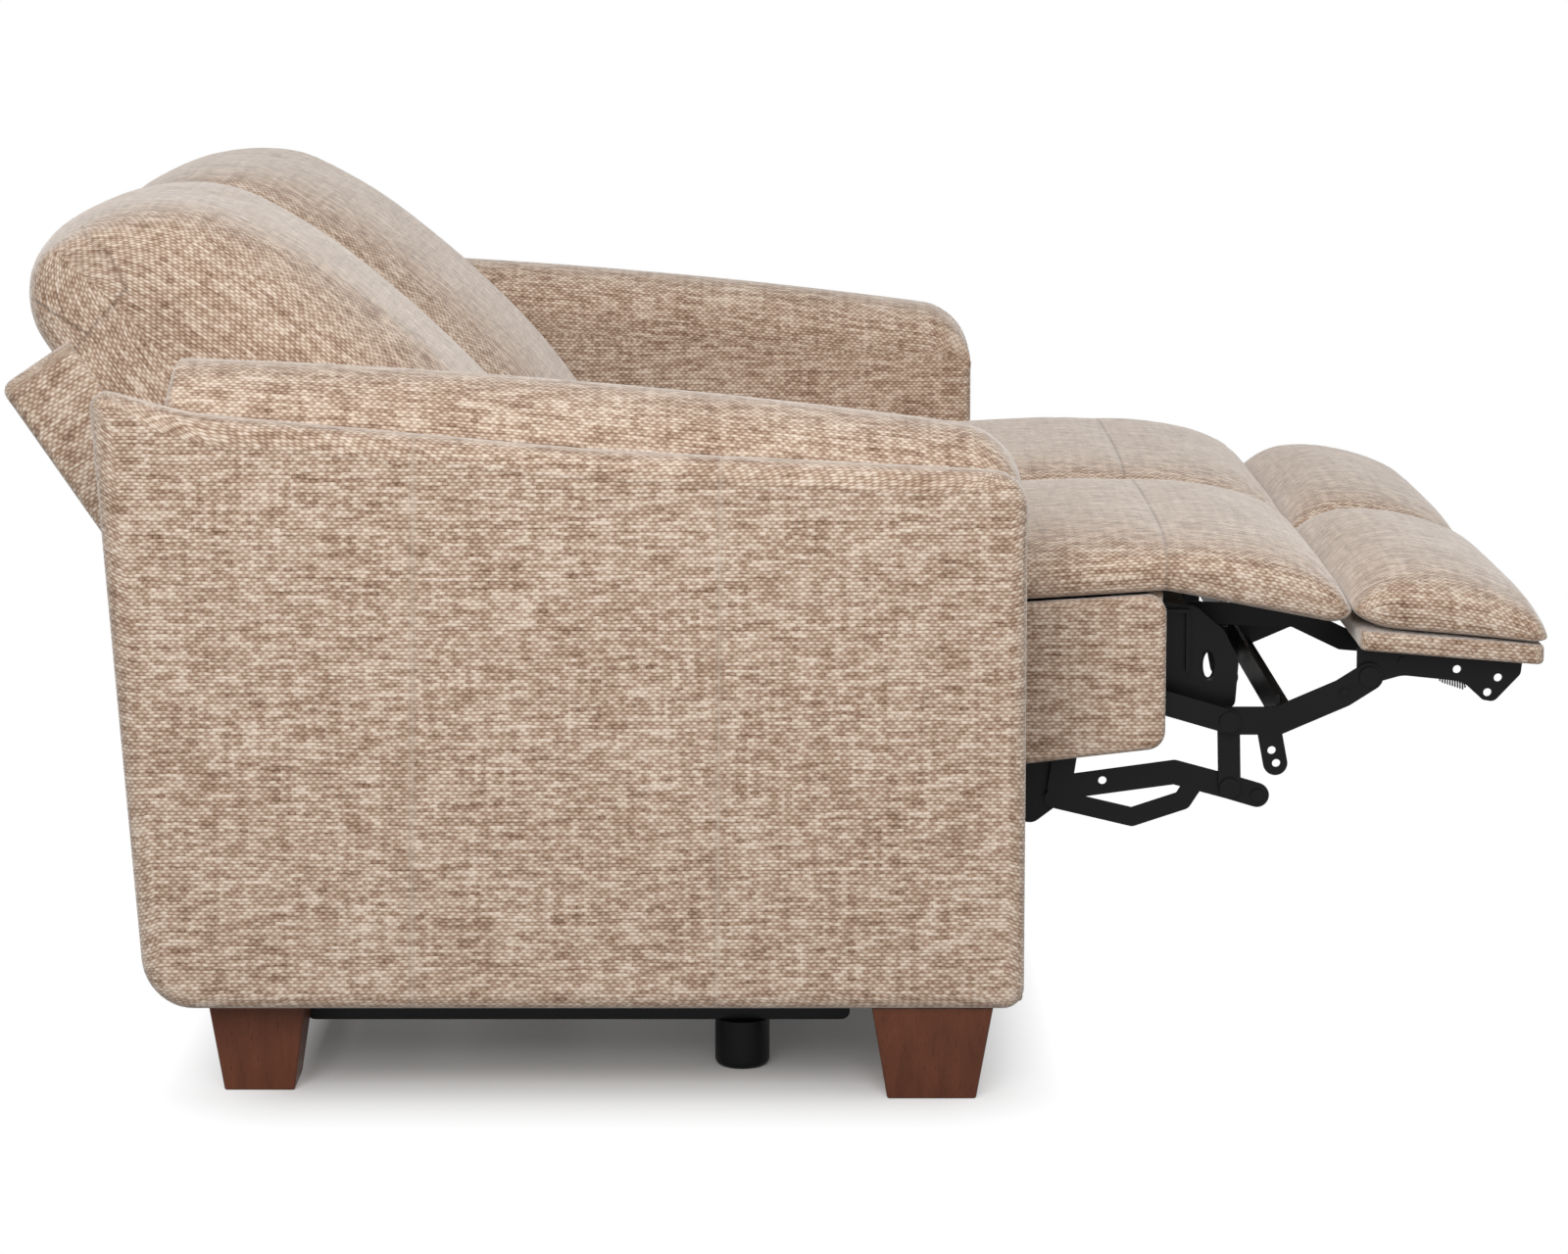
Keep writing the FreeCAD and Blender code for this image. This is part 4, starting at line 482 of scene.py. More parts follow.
def worn_paint():
    """Paint, plating or moulded plastic: fine texture, uneven gloss, and faint scuffs of a second colour."""
    tree, n, given, out = new_group(
        "worn_paint",
        [("Place", "Vector"), ("Texture", "Float"), ("Deep", "Color"), ("Bright", "Color"), ("Worn", "Color"),
         ("Gloss", "Float")],
        [("Color", "Color"), ("Height", "Float"), ("Roughness", "Float")],
    )
    here = given.outputs["Place"]
    fine = n.noise(here, given.outputs["Texture"], 2, 0.6, "3D").outputs[0]
    cloud = n.noise(here, 22, 3, 0.6, "3D").outputs[0]
    scuff = n.noise(n.stretch(here, 60, 60, 240), 1, 4, 0.7, "3D").outputs[0]
    scuff = n.math("MULTIPLY", n.math("SUBTRACT", scuff, 0.66, clamp=True), 4.0, clamp=True)
    colour = n.mix(cloud, given.outputs["Deep"], given.outputs["Bright"])
    n.set(out.inputs["Color"], n.mix(n.math("MULTIPLY", scuff, 0.5), colour, given.outputs["Worn"]))
    n.set(out.inputs["Height"], fine)
    rough = n.math("ADD", given.outputs["Gloss"], n.about(cloud, 0.18))
    n.set(out.inputs["Roughness"], n.math("ADD", rough, n.math("MULTIPLY", scuff, 0.12)))
    return tree


WEAVE, SEAM, GRAIN, PAINT = chenille_weave(), sewn_seam(), wood_grain(), worn_paint()


def shade(colour, share):
    """The colour, made lighter or darker by a share."""
    return tuple(share * v for v in colour[:3]) + (1,)


def new_material(name):
    """Empty material, its node adder and its shader."""
    made = bpy.data.materials.new(name)
    made.use_nodes = True
    made.node_tree.nodes.clear()
    n = Nodes(made.node_tree)
    shader = n.add("ShaderNodeBsdfPrincipled")
    n.add("ShaderNodeOutputMaterial", {"Surface": shader.outputs[0]})
    return made, n, shader


def cover(name, seams=()):
    """Chenille cover; seams are (line, width, depth of the colour, colour painted into the seam's dip), each
    line straight between two (X, Z).
    """
    made, n, shader = new_material(name)
    cloth = n.add("ShaderNodeUVMap", uv_map="weave").outputs[0]
    yarn = {"Cloth": cloth, "Float": FLOAT, "Row": ROW, "Heather": HEATHER, "Dark": DARK_YARN,
            "Middle": MIDDLE_YARN, "Light": LIGHT_YARN_AND_HIGHLIGHT}
    weave = n.add("ShaderNodeGroup", yarn, node_tree=WEAVE)
    colour, rise = weave.outputs["Color"], weave.outputs["Height"]
    if seams:
        here = n.add("ShaderNodeTexCoord").outputs["Object"]
        part = n.add("ShaderNodeSeparateXYZ", {0: here})
        flat = n.add("ShaderNodeCombineXYZ", {0: part.outputs[0], 1: part.outputs[2]}).outputs[0]
    for (a, b), width, depth, painted_seam_colour in seams:
        way = np.array(b) - np.array(a)
        from_a = n.vector("SUBTRACT", flat, (*a, 0)).outputs[0]
        share = n.vector("DOT_PRODUCT", from_a, (*(way / (way @ way)), 0)).outputs["Value"]
        share = n.math("ADD", share, 0.0, clamp=True)
        foot = n.add("ShaderNodeVectorMath", {0: (*way, 0), "Scale": share}, operation="SCALE").outputs[0]
        distance = n.vector("DISTANCE", from_a, foot).outputs["Value"]
        seam = n.add("ShaderNodeGroup", {"Distance": distance, "Width": width}, node_tree=SEAM)
        rise = n.math("ADD", rise, seam.outputs["Height"])
        # Paints the seam's colour into its dip: painted shade in the seat's and back's seams, a lighter line
        # in the arm's.
        colour = n.mix(n.math("MULTIPLY", seam.outputs["Shade"], depth), colour, painted_seam_colour)
    n.set(shader.inputs["Base Color"], colour)
    n.set(shader.inputs["Roughness"], weave.outputs["Roughness"])
    n.set(shader.inputs["Normal"], n.bump(rise, 0.55, 0.0011))
    n.set(shader.inputs["Specular IOR Level"], 0.15)
    n.set(shader.inputs["Sheen Weight"], 1.0)
    n.set(shader.inputs["Sheen Roughness"], 0.36)
    n.set(shader.inputs["Sheen Tint"], (0.96, 0.93, 0.90, 1))
    return made


def finish(name, group, sockets, strength, depth, shine, metal=0.0):
    """Hard finish from a group that gives colour, height and roughness at a place on the object."""
    made, n, shader = new_material(name)
    here = n.add("ShaderNodeTexCoord").outputs["Object"]
    look = n.add("ShaderNodeGroup", {"Place": here, **sockets}, node_tree=group)
    n.set(shader.inputs["Base Color"], look.outputs["Color"])
    n.set(shader.inputs["Roughness"], look.outputs["Roughness"])
    n.set(shader.inputs["Normal"], n.bump(look.outputs["Height"], strength, depth))
    n.set(shader.inputs["Specular IOR Level"], shine)
    n.set(shader.inputs["Metallic"], metal)
    return made


def stained_wood(name, dark, light, grain=70, gloss=0.38):
    """Wood finish with its grain so many bands to the metre."""
    sockets = {"Grain": (grain, grain, 5), "Dark": dark, "Light": light, "Pore": shade(dark, 0.35),
               "Gloss": gloss}
    return finish(name, GRAIN, sockets, 0.25, 0.0005, 0.18)


def painted(name, colour, gloss, worn, shine=0.16, texture=900, depth=0.00012, metal=0.0):
    """Paint, plating or plastic finish: its tone wanders a quarter each way from the colour."""
    sockets = {"Texture": texture, "Deep": shade(colour, 0.75), "Bright": shade(colour, 1.25), "Worn": worn,
               "Gloss": gloss}
    return finish(name, PAINT, sockets, 0.3, depth, shine, metal)


def woven_webbing(name):
    """Black elastic webbing: ribs along the strap and a herringbone across it."""
    made, n, shader = new_material(name)
    here = n.add("ShaderNodeTexCoord").outputs["Object"]
    part = n.add("ShaderNodeSeparateXYZ", {0: here})
    ribs = n.math("SINE", n.math("MULTIPLY", part.outputs[1], 2600.0))
    picks = n.math("ADD", n.math("MULTIPLY", part.outputs[0], 3400.0), n.math("MULTIPLY", ribs, 1.4))
    picks = n.math("SINE", picks)
    rise = n.math("ADD", n.math("MULTIPLY", ribs, 0.5), n.math("MULTIPLY", picks, 0.5))
    share = n.math("ADD", 0.5, n.math("MULTIPLY", rise, 0.4), clamp=True)
    n.set(shader.inputs["Base Color"], n.mix(share, (0.012, 0.012, 0.013, 1), (0.05, 0.05, 0.052, 1)))
    n.set(shader.inputs["Roughness"], n.math("SUBTRACT", 0.85, n.math("MULTIPLY", share, 0.2)))
    n.set(shader.inputs["Normal"], n.bump(rise, 0.5, 0.0004))
    return made


CHENILLE = cover("chenille")
# Seam colours in the covers: a lighter line down the arm's seams, painted shade in the seat's cross seam and
# the back's seams.
ARM_CHENILLE = cover("chenille_arm_side", [
    (((-0.382, 0.10), (-0.374, 0.74)), 0.0024, 0.40, PALE),
    (((-0.070, 0.10), (-0.064, 0.70)), 0.0024, 0.40, PALE),
])
SEAT_CHENILLE = cover("chenille_seat", [(((SEAT_FRONT, 0.40), (SEAT_FRONT, 0.64)), 0.0022, 0.30, SEAM_SHADE)])
BACK_CHENILLE = cover("chenille_back", [
    *((line, 0.0020, 0.30, SEAM_SHADE) for line in zip(BACK_GUSSET, BACK_GUSSET[1:])),
    (BACK_ROLL, 0.0020, 0.35, SEAM_SHADE),
])
MAHOGANY = stained_wood("mahogany_stain", (0.066, 0.020, 0.010, 1), (0.180, 0.060, 0.031, 1))
HARDWOOD = stained_wood("raw_hardwood", (0.40, 0.26, 0.14, 1), (0.66, 0.49, 0.31, 1), 40, 0.6)
BLACK_STEEL = painted("black_painted_steel", (0.005, 0.005, 0.0056, 1), 0.34, (0.03, 0.03, 0.032, 1))
ZINC = painted("zinc_plate", (0.55, 0.56, 0.58, 1), 0.32, (0.4, 0.4, 0.38, 1), 0.5, metal=1.0)
BLACK_PLASTIC = painted("black_plastic", (0.006, 0.006, 0.0065, 1), 0.45, (0.02, 0.02, 0.02, 1), texture=1500,
                        depth=0.0002)
WEBBING = woven_webbing("elastic_webbing")


# Arms


def panel_top(x):
    """Height of the outer side panel's top edge ahead of its rear sweep."""
    return np.interp(x, *zip(*TOP_EDGE))


def rear_edge(z):
    """X of the arm's leaning rear edge at a height."""
    return REAR_FOOT + (REAR_TOP[0] - REAR_FOOT) * (z - ARM_LOW) / (REAR_TOP[1] - ARM_LOW)


def arm_side():
    """Outer side panel: a covered board with a fat rounded edge and a faint seam under the top of it."""
    sweep, bend, front = TOP_EDGE
    outline = rounded([(REAR_FOOT, ARM_LOW, 0.055), (ARM_FRONT, ARM_LOW, 0.022), (*front, 0.038),
                       (*bend, 2.0), (*sweep, 0.260), (*REAR_TOP, 0.016)])
    tangent = np.roll(outline, -1, 0) - np.roll(outline, 1, 0)
    up = -tangent[:, 0] / np.linalg.norm(tangent, axis=1)
    top = np.clip((up - 0.55) / 0.4, 0, 1)
    top = top * top * (3 - 2 * top)

    def roll(inset):
        return -0.0006 * top * np.exp(-(((inset - 0.0290) / 0.0025) ** 2))

    across = tangent[:, 1] / np.linalg.norm(tangent, axis=1)
    edge = 0.017 + 0.007 * np.maximum(np.clip(-across * 1.4 - 0.4, 0, 1), top)
    steps = np.concatenate([np.arange(0.0250, 0.034, 0.0012), [0.038, 0.044]])
    face, back = -HALF_WIDTH, -HALF_WIDTH + 0.040
    surface = padded_plate(outline, on_xz(lambda d: d), back, face, 0.004, edge, 0.0025, None, steps, roll)
    return piece("right_arm_side", [surface], ARM_CHENILLE)


def arm_inside():
    """Inner side panel with the opening for its control panel; its top edge is square under the pad.

    Each point of the outline meets the opening's point at that angle: where the ray leaves its rectangle.
    """
    front, bend, rear = (panel_top(x) - 0.030 for x in (ARM_FRONT, ARM_BEND, PAD_REAR))
    outline = rounded([(REAR_FOOT, ARM_LOW, 0.012), (ARM_FRONT, ARM_LOW, 0.012), (ARM_FRONT, front, 0.006),
                       (ARM_BEND, bend, 0.004), (PAD_REAR, rear, 0.004), (rear_edge(rear), rear, 0.012)])
    top = np.interp(outline[:, 0], [PAD_REAR, ARM_BEND, ARM_FRONT], [rear, bend, front])
    edge = np.where(outline[:, 1] > top - 0.012, 0.001, 0.014)
    centre, half_length, half_height = np.array([-0.100, 0.545]), 0.0435, 0.0195
    way = outline - centre
    angle = np.arctan2(way[:, 1], way[:, 0])
    reach = 1 / np.maximum(np.abs(np.cos(angle)) / half_length, np.abs(np.sin(angle)) / half_height)
    opening = centre + np.stack([np.cos(angle), np.sin(angle)], 1) * reach[:, None]
    back = -END_PANEL[1]
    surface = padded_plate(outline, on_xz(lambda d: -d), back, ARM_IN, 0.001, edge, opening=opening)
    return piece("right_arm_inside", [surface], CHENILLE)


def arm_ends():
    """Front and rear panels that close the arm between its side panels, and the ledge behind the pad.

    The rear panel leans with the arm's rear edge and turns under in a quarter circle at its foot.
    """
    y0, y1 = END_PANEL
    top = panel_top(ARM_FRONT) - 0.030
    front = rounded([(y0, ARM_LOW, 0.004), (y1, ARM_LOW, 0.004), (y1, top, 0.004), (y0, top, 0.004)])
    across = lambda u, w, d: np.stack([d, u, w], -1)
    surfaces = [padded_plate(front, across, 0.220, ARM_FRONT, 0.002, 0.004, 0.002)]
    top = panel_top(PAD_REAR) - 0.028
    rear = rounded([(y0, 0.1015, 0.003), (y1, 0.1015, 0.003), (y1, top, 0.004), (y0, top, 0.004)])

    def leaning(u, w, d, foot=0.055):
        under = np.clip(ARM_LOW + foot - w, 0, 0.054)
        return np.stack([rear_edge(w) + 0.001 + foot - np.sqrt(foot**2 - under**2) + d, u, w], -1)

    rings = np.linspace(0.008, 0.058, 11)
    level = lambda inset: 0.0
    surfaces.append(padded_plate(rear, leaning, 0.026, 0.0, 0.002, 0.005, 0.002, None, rings, level))
    x0, x1 = rear_edge(top) + 0.004, PAD_REAR + 0.008
    ledge = rounded([(x0, y0, 0.004), (x1, y0, 0.004), (x1, y1, 0.004), (x0, y1, 0.004)])
    flat = lambda u, w, d: np.stack([u, w, d], -1)
    surfaces.append(padded_plate(ledge, flat, top - 0.014, top + 0.001, 0.002, 0.005, 0.002))
    return piece("right_arm_ends", surfaces, CHENILLE)


def spread(start, end, count, lead_in, lead_out):
    """Stations along a cushion, closer together over a lead at each end."""
    q = np.linspace(0, 1, 9) ** 2
    even = np.linspace(start, end, count)
    return np.unique(np.concatenate([even, start + lead_in * q, end - lead_out * q]).round(6))


def arm_top():
    """Crowned pad along the arm's top, full behind and falling over a round nose in front."""
    x = spread(PAD_REAR, 0.2455, 70, 0.030, 0.070)
    share = (x - PAD_REAR) / 0.880
    crown = 0.761 - 0.076 * share + 0.044 * share * (1 - share)
    low = panel_top(x) - 0.031
    half = (0.7295 - ARM_IN) / 2
    place = lambda a, y, h: np.stack([a, y - ARM_IN - half, h], -1)
    return pillow(x, low, crown, half, place, side=(12, 3.0), edge=(0.36, 0.66), power=2.2, seam=0.0,
                  ends=(0.014, 0.062), corner=0.0, pull=0.0, stations=32)


# Seats


def box_top(x):
    """Height of a seat box's top edge, which rises forward."""
    return 0.500 + (x - SEAT_FRONT) * 0.0635


def box_low(x):
    """Height of a seat box's lower edge, which rises forward more."""
    return 0.334 + (x - SEAT_FRONT) * 0.116


def seat_boards():
    """The four covered boards of a seat box."""
    rear = -0.150
    outline = rounded([(rear, box_low(rear), 0.012), (SEAT_FRONT, box_low(SEAT_FRONT), 0.020),
                       (SEAT_FRONT, box_top(SEAT_FRONT), 0.020), (rear, box_top(rear), 0.012)])
    surfaces = [padded_plate(outline, on_xz(lambda d: SEAT_Y + d), s * 0.264, s * 0.282, 0.003, 0.008, 0.0015)
                for s in (-1, 1)]
    across = lambda u, w, d: np.stack([d, SEAT_Y + u, w], -1)
    front, behind = (0.387, 0.403, 0.340, 0.499, 0.254), (-0.110, -0.128, 0.355, 0.466, 0.260)
    for x0, x1, low, high, half in (front, behind):
        board = rounded([(-half, low, 0.004), (half, low, 0.004), (half, high, 0.004), (-half, high, 0.004)])
        surfaces.append(padded_plate(board, across, x0, x1, 0.002, 0.004, 0.0))
    return piece("right_seat_boards", surfaces, CHENILLE)


def on_seat(a, y, h):
    """Seat coordinates: along it, across from its middle, and height."""
    return np.stack([a, SEAT_Y + y, h], -1)


def seat_pillow():
    """Seat cushion and bolster under one cover: a long low crown that rolls down to the tuck."""
    x = spread(-0.108, 0.6015, 84, 0.040, 0.050)
    low = np.where(x < SEAT_FRONT, box_top(x) + 0.0005, 0.5005 - 0.038 * (x - SEAT_FRONT) / 0.197)
    high = height([(-0.108, 0.514), (-0.02, 0.530), (0.148, 0.543), (0.30, 0.553), (SEAT_FRONT, 0.559),
                   (0.470, 0.556), (0.530, 0.544), (0.580, 0.523), (0.6015, 0.503)], x)
    seam = np.interp(x, [0.50, 0.6015], [0.42, 0.55])
    return pillow(x, low, high, CUSHION_HALF, on_seat, seam=seam, ends=(0.03, 0.026))


def leg_pillow():
    """Leg pad: a full crown that dips into the tuck behind and rounds over a blunt nose in front."""
    x = spread(0.6025, 0.8140, 40, 0.060, 0.060)
    low = 0.463 - LEG_SLOPE * (x - TUCK)
    high = height([(0.6025, 0.505), (0.625, 0.520), (0.660, 0.527), (0.700, 0.525), (0.745, 0.514),
                   (0.785, 0.497), (0.8140, 0.480)], x)
    seam = np.interp(x, [0.6025, 0.66, 0.76, 0.814], [0.62, 0.34, 0.28, 0.28])
    return pillow(x, low, high, CUSHION_HALF, on_seat, edge=0.80, seam=seam, ends=(0.050, 0.022),
                  sink=(0.0, 0.004))


def leg_board():
    """Covered board under the leg pad, tilted with it."""
    x0, x1, half = 0.6102, 0.8062, 0.282
    outline = rounded([(x0, -half, 0.010), (x1, -half, 0.010), (x1, half, 0.010), (x0, half, 0.010)])
    place = lambda u, w, d: np.stack([u, SEAT_Y + w, 0.4625 - LEG_SLOPE * (u - TUCK) + d], -1)
    surface = padded_plate(outline, place, -0.001, -0.022, 0.004, 0.006)
    return piece("right_leg_board", [surface], CHENILLE)


# Backs


def back_pillow():
    """Back cushion: a deep pad with a lumbar swell, rolled over at the top and fuller towards its arm."""
    up = spread(-0.545, 0.109, 70, 0.060, 0.090)
    rear = np.interp(up, [-0.545, -0.024, -0.010, 0.105], [0.056, 0.056, 0.060, 0.062])
    face = height([(-0.545, 0.380), (-0.490, 0.393), (-0.420, 0.398), (-0.283, 0.385), (-0.090, 0.336),
                   (0.036, 0.280), (0.109, 0.236)], up)
    place = lambda a, y, h: on_back(h, SEAT_Y + y, a)
    return pillow(up, rear, face, 0.283, place, side=(6, 2.8), edge=(1.03, 0.91), power=1.6, seam=0.40,
                  ends=(0.045, 0.085), sink=(0.0, 0.018))


def back_shell():
    """Covered outer back: a shallow box that leans with the back and shuts in its frame."""
    half, foot = 0.284, -0.549
    outline = rounded([(-half, foot, 0.012), (half, foot, 0.012), (half, 0.0, 0.012), (-half, 0.0, 0.012)])
    place = lambda u, w, d: on_back(d, SEAT_Y + u, w)
    surface = padded_plate(outline, place, 0.090, 0.0, 0.004, 0.014, 0.002)
    return piece("right_back_shell", [surface], CHENILLE)


def lower_back():
    """Fixed panel below the backs, with the square opening for the power inlet."""
    half, top = ARM_IN, 0.328
    outline = rounded([(-half, ARM_LOW, 0.006), (half, ARM_LOW, 0.006), (half, top, 0.008),
                       (-half, top, 0.008)])
    inlet, half_inlet = np.array([0.180, 0.190]), 0.0132
    way = outline - inlet
    opening = inlet + way * (half_inlet / np.abs(way).max(1))[:, None]
    place = lambda u, w, d: np.stack([rear_edge(w) + d, u, w], -1)
    surface = padded_plate(outline, place, 0.018, 0.0, 0.002, 0.005, 0.0, opening)
    return piece("lower_back", [surface], CHENILLE)


# Feet


def wooden_feet():
    """Four tapered blocks: rounded squares that shrink evenly from the top down to the floor."""
    surfaces = []
    for sign in (-1, 1):
        for x, top, bottom, inset in ((0.152, 0.125, 0.092, 0.012), (-0.547, 0.102, 0.073, 0.046)):
            h = top / 2
            y = sign * (HALF_WIDTH - inset - h)
            square = rounded([(-h, -h, 0.004), (h, -h, 0.004), (h, h, 0.004), (-h, h, 0.004)])

            def place(u, w, d, x=x, y=y, narrow=bottom / top):
                size = narrow + (1 - narrow) * d / ARM_LOW
                return np.stack([x + u * size, y + w * size, d], -1)

            surfaces.append(padded_plate(square, place, ARM_LOW, 0.0, 0.001, 0.0025))
    return piece("tapered_feet", surfaces, MAHOGANY)


# Steel plates and spring


def link_plates():
    """Pressed plates inside the links: each side one that carries the lower link, and one ahead of the box.

    The plate ahead of the box has an oval hole: each point of its outline meets the oval's at that angle.
    """
    hanger = rounded([(0.212, 0.250, 0.006), (0.268, 0.243, 0.014), (0.293, 0.262, 0.014),
                      (0.300, 0.328, 0.012), (0.284, 0.352, 0.012), (0.212, 0.352, 0.006)], 0.006)
    nose = rounded([(0.404, 0.384, 0.006), (0.440, 0.372, 0.020), (0.484, 0.364, 0.010),
                    (0.488, 0.420, 0.020), (0.472, 0.452, 0.020), (0.442, 0.478, 0.016),
                    (0.404, 0.484, 0.006)], 0.006)
    centre, half_length, half_height, thick = np.array([0.4550, 0.4140]), 0.0055, 0.0140, 0.0045
    angle = np.arctan2(*(nose - centre).T[::-1])
    oval = centre + np.stack([half_length * np.cos(angle), half_height * np.sin(angle)], 1)
    place = on_xz(lambda d: SEAT_Y + d)
    surfaces = []
    for outline, inner, opening in ((hanger, 0.228, None), (nose, 0.218, oval)):
        for s in (-1, 1):
            back, front = s * inner, s * (inner + thick)
            surfaces.append(padded_plate(outline, place, back, front, 0.0004, 0.0008, opening=opening))
    return piece("right_link_plates", surfaces, BLACK_STEEL)


def coil_spring():
    """Close-wound spring with a hook at each end: a round wire along a helix that opens into its axis."""
    stations, sides, coils, radius, thick = 260, 10, 11, 0.0042, 0.0008
    turns = np.linspace(0, 1, stations)[:, None]
    wire = np.linspace(0, 2 * math.pi, sides, endpoint=False)[None]
    angle = turns * 2 * math.pi * coils
    out = radius * np.clip(np.minimum(turns, 1 - turns) * 12, 0.15, 1) + thick * np.cos(wire)
    x = 0.700 + 0.030 * turns + thick * np.sin(wire)
    z = 0.4035 - 0.010 * turns + out * np.sin(angle)
    points = np.stack([x, SEAT_Y - 0.236 + out * np.cos(angle), z], -1).reshape(-1, 3)
    ring = np.arange(sides)
    cap = np.stack([ring, np.roll(ring, -1), 0 * ring, 0 * ring], 1)
    coil = grid_quads(stations, sides, round_columns=True)
    quads = np.vstack([coil, cap[:, [1, 0, 2, 3]], cap + (stations - 1) * sides])
    return piece("right_leg_spring", [(points, quads, np.zeros((len(quads), 4, 2)))], BLACK_STEEL)


# Filling and fitting


def vertices_of(mesh):
    """A mesh's points, as rows."""
    flat = np.empty(len(mesh.vertices) * 3, np.float32)
    mesh.vertices.foreach_get("co", flat)
    return flat.reshape(-1, 3)


def swell(obj, held, pressure, most):
    """Fills a cover: cloth under pressure, held at its seams and underside.

    A point's movement d is drawn in to most times tanh(d / most), so that none moves more than most.
    """
    before = vertices_of(obj.data)
    group = obj.vertex_groups.new(name="held")
    group.add(np.flatnonzero(held).tolist(), 1.0, "REPLACE")
    cloth = obj.modifiers.new("filling", "CLOTH")
    s = cloth.settings
    s.quality, s.mass, s.air_damping = 5, 0.3, 2.0
    s.tension_stiffness = s.compression_stiffness = 18
    s.shear_stiffness, s.bending_stiffness = 8, 0.8
    s.use_pressure, s.uniform_pressure_force = True, pressure
    s.vertex_group_mass = "held"
    s.effector_weights.gravity = 0
    cloth.collision_settings.use_collision = False
    scene = bpy.context.scene
    for step in range(1, FILL_FRAMES + 1):
        scene.frame_set(step)
    move = vertices_of(obj.evaluated_get(bpy.context.evaluated_depsgraph_get()).data) - before
    length = np.linalg.norm(move, axis=1, keepdims=True)
    move *= most * np.tanh(length / most) / np.maximum(length, 1e-9)
    obj.modifiers.remove(cloth)
    obj.vertex_groups.remove(group)
    scene.frame_set(1)
    obj.data.vertices.foreach_set("co", (before + move).ravel())
    obj.data.update()


def cushion(name, made, material, pressure, most, held=None):
    points, quads, cloth, sheet = made
    obj = piece(name, [(points, quads, cloth)], material)
    fixed = sheet > 0
    if held is not None:
        fixed |= held(points)
    swell(obj, fixed, pressure, most)
    smooth = obj.modifiers.new("smooth", "SUBSURF")
    smooth.levels = smooth.render_levels = 1
    shaped = bpy.data.meshes.new_from_object(obj.evaluated_get(bpy.context.evaluated_depsgraph_get()))
    obj.modifiers.remove(smooth)
    obj.data = shaped
    return obj


def other_side(obj):
    """The left-hand twin of a right-hand piece: its mesh with Y turned over."""
    mesh = obj.data.copy()
    mesh.vertices.foreach_set("co", (vertices_of(mesh) * (1, -1, 1)).astype(np.float32).ravel())
    mesh.flip_normals()
    twin = bpy.data.objects.new(obj.name.replace("right", "left"), mesh)
    bpy.context.scene.collection.objects.link(twin)
    return twin


def settle(obj, body, nodes):
    """Fits a piece to its body, in place of the solids that it dresses."""
    if nodes:
        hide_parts(*nodes)
    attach(obj, body)


def pair(obj, body, *nodes, filled=False, slot="upholstery"):
    """Fits a right-hand piece and its twin to their own sides' body and nodes."""
    for side, made in (("right", obj), ("left", other_side(obj))):
        settle(made, body.format(side), [f"{side}_{node}" for node in nodes])


pair(arm_side(), "base", "arm_outer_panel")
pair(arm_inside(), "base", "arm_inner_panel")
pair(arm_ends(), "base", "arm_end_panels")
pair(cushion("right_arm_top", arm_top(), CHENILLE, 3, 0.004), "base", "arm_pad", filled=True)
pair(seat_boards(), "{}_seat", "seat_box")
pair(leg_board(), "{}_footrest", "footrest_board")
pair(cushion("right_leg_pad", leg_pillow(), CHENILLE, 4, 0.010), "{}_footrest", "footrest_pad", filled=True)
pair(coil_spring(), "{}_footrest", slot="black_steel")
pair(link_plates(), "{}_seat", slot="black_steel")
pair(back_shell(), "{}_back", "back_panel")
back_pad = cushion("right_back_pad", back_pillow(), BACK_CHENILLE, 4, 0.010)
pair(back_pad, "{}_back", "back_cushion", filled=True)
cross_seam = lambda p: np.abs(p[:, 0] - SEAT_FRONT) < 0.005
seat_pad = cushion("right_seat_pad", seat_pillow(), SEAT_CHENILLE, 4, 0.010, cross_seam)
for side, pad in (("right", seat_pad), ("left", other_side(seat_pad))):
    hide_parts(f"{side}_seat_cushion", f"{side}_bolster")
    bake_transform(pad)
settle(lower_back(), "base", ["rear_lower_panel"])
settle(wooden_feet(), "base", ["wooden_feet"])

SLOT_FINISH = {"upholstery": CHENILLE, "dark_wood": MAHOGANY, "frame_wood": HARDWOOD, "zinc_steel": ZINC,
               "black_steel": BLACK_STEEL, "black_plastic": BLACK_PLASTIC, "webbing": WEBBING}
for row in frame["record"]["subparts"]:
    mesh = frame["nodes"][row["node"]].data
    mesh.materials.clear()
    mesh.materials.append(SLOT_FINISH[row["material_slot"]])


# Floor, light and camera


def seen_directly(n):
    """1 for rays seen straight, in a shine or through glass, and 0 for light that bounces."""
    path = n.add("ShaderNodeLightPath")
    seen = n.math("MAXIMUM", path.outputs["Is Camera Ray"], path.outputs["Is Glossy Ray"])
    return n.math("MAXIMUM", seen, path.outputs["Is Transmission Ray"])


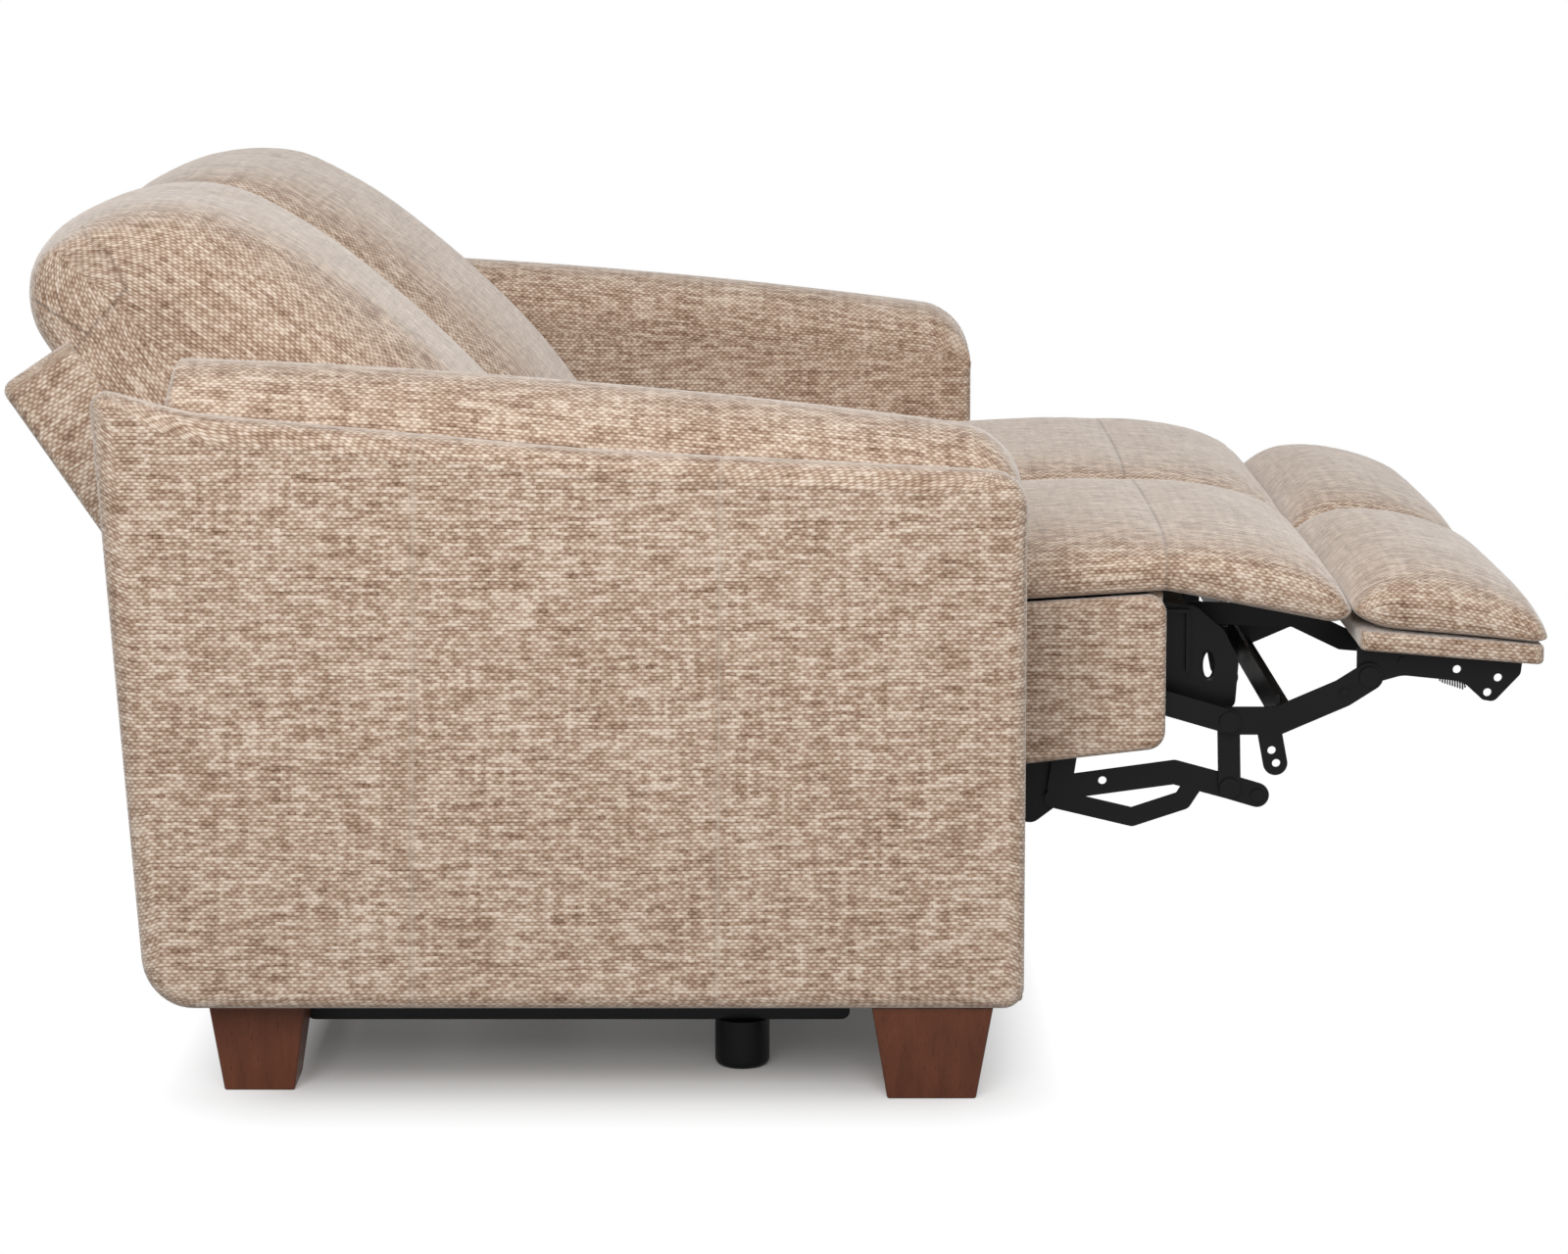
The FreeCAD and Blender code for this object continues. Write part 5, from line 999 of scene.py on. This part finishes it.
def studio_floor():
    """Pale floor that holds the shadow under the sofa and fades to white away from it."""
    sides = [-FLOOR_HALF, FLOOR_HALF]
    grid = np.stack(np.meshgrid(sides, sides), -1).reshape(-1, 2)
    mesh = bpy.data.meshes.new("floor")
    mesh.from_pydata(np.column_stack([grid, np.zeros(4)]).tolist(), [], [(0, 1, 3, 2)])
    floor = bpy.data.objects.new("floor", mesh)
    bpy.context.scene.collection.objects.link(floor)
    made = bpy.data.materials.new("pale_floor")
    made.use_nodes = True
    made.node_tree.nodes.clear()
    n = Nodes(made.node_tree)
    here = n.add("ShaderNodeTexCoord").outputs["Object"]
    part = n.add("ShaderNodeSeparateXYZ", {0: here})

    def past(k, middle):
        from_middle = n.math("ABSOLUTE", n.math("SUBTRACT", part.outputs[k], middle))
        beyond = n.math("MAXIMUM", n.math("SUBTRACT", from_middle, SHADOW_HALF[k]), 0.0)
        return n.math("MULTIPLY", beyond, beyond)

    away = n.math("SQRT", n.math("ADD", past(0, SHADOW_X), past(1, 0.0)))
    fade = n.math("DIVIDE", away, FADE, clamp=True)
    seen = n.add("ShaderNodeBsdfDiffuse", {"Color": (0.90, 0.90, 0.90, 1)})
    white = n.add("ShaderNodeEmission", {"Color": WHITE, "Strength": 0.045})
    held = n.add("ShaderNodeAddShader", {0: seen.outputs[0], 1: white.outputs[0]})
    pure = n.add("ShaderNodeEmission", {"Color": WHITE, "Strength": 1.0})
    shown = n.add("ShaderNodeMixShader", {0: fade, 1: held.outputs[0], 2: pure.outputs[0]})
    bounce = n.add("ShaderNodeBsdfDiffuse", {"Color": (0.40, 0.40, 0.40, 1)})
    both = n.add("ShaderNodeMixShader", {0: seen_directly(n), 1: bounce.outputs[0], 2: shown.outputs[0]})
    n.add("ShaderNodeOutputMaterial", {"Surface": both.outputs[0]})
    mesh.materials.append(made)


def studio_light():
    """White surround for the camera, an even soft sky for the sofa, and two broad soft lamps."""
    world = bpy.data.worlds.new("studio")
    bpy.context.scene.world = world
    world.use_nodes = True
    world.node_tree.nodes.clear()
    n = Nodes(world.node_tree)
    strength = n.math("ADD", SKY_LIGHT, n.math("MULTIPLY", seen_directly(n), 1 - SKY_LIGHT))
    sky = n.add("ShaderNodeBackground", {"Color": WHITE, "Strength": strength})
    n.add("ShaderNodeOutputWorld", {"Surface": sky.outputs[0]})
    for name, place, aim, size, power in LAMPS:
        lamp = bpy.data.lights.new(name, "AREA")
        lamp.shape, lamp.size, lamp.energy = "SQUARE", size, power
        obj = bpy.data.objects.new(name, lamp)
        bpy.context.scene.collection.objects.link(obj)
        obj.location = place
        way = np.array(aim, float) - np.array(place, float)
        flat = math.hypot(way[0], way[1])
        obj.rotation_euler = (math.atan2(flat, -way[2]), 0, math.atan2(way[1], way[0]) - math.pi / 2)


def photo_camera():
    """Long lens above the arms, square on to the sofa's right side, tipped and shifted down to its middle."""
    lens = bpy.data.cameras.new("photo_camera")
    lens.sensor_width, lens.lens, lens.shift_y = SENSOR, LENS, SHIFT
    camera = bpy.data.objects.new("photo_camera", lens)
    bpy.context.scene.collection.objects.link(camera)
    camera.location = CAMERA_PLACE
    camera.rotation_euler = (math.pi / 2 - CAMERA_TIP, 0, 0)
    bpy.context.scene.camera = camera


studio_floor()
studio_light()
photo_camera()
bpy.context.scene.view_settings.view_transform = "Standard"
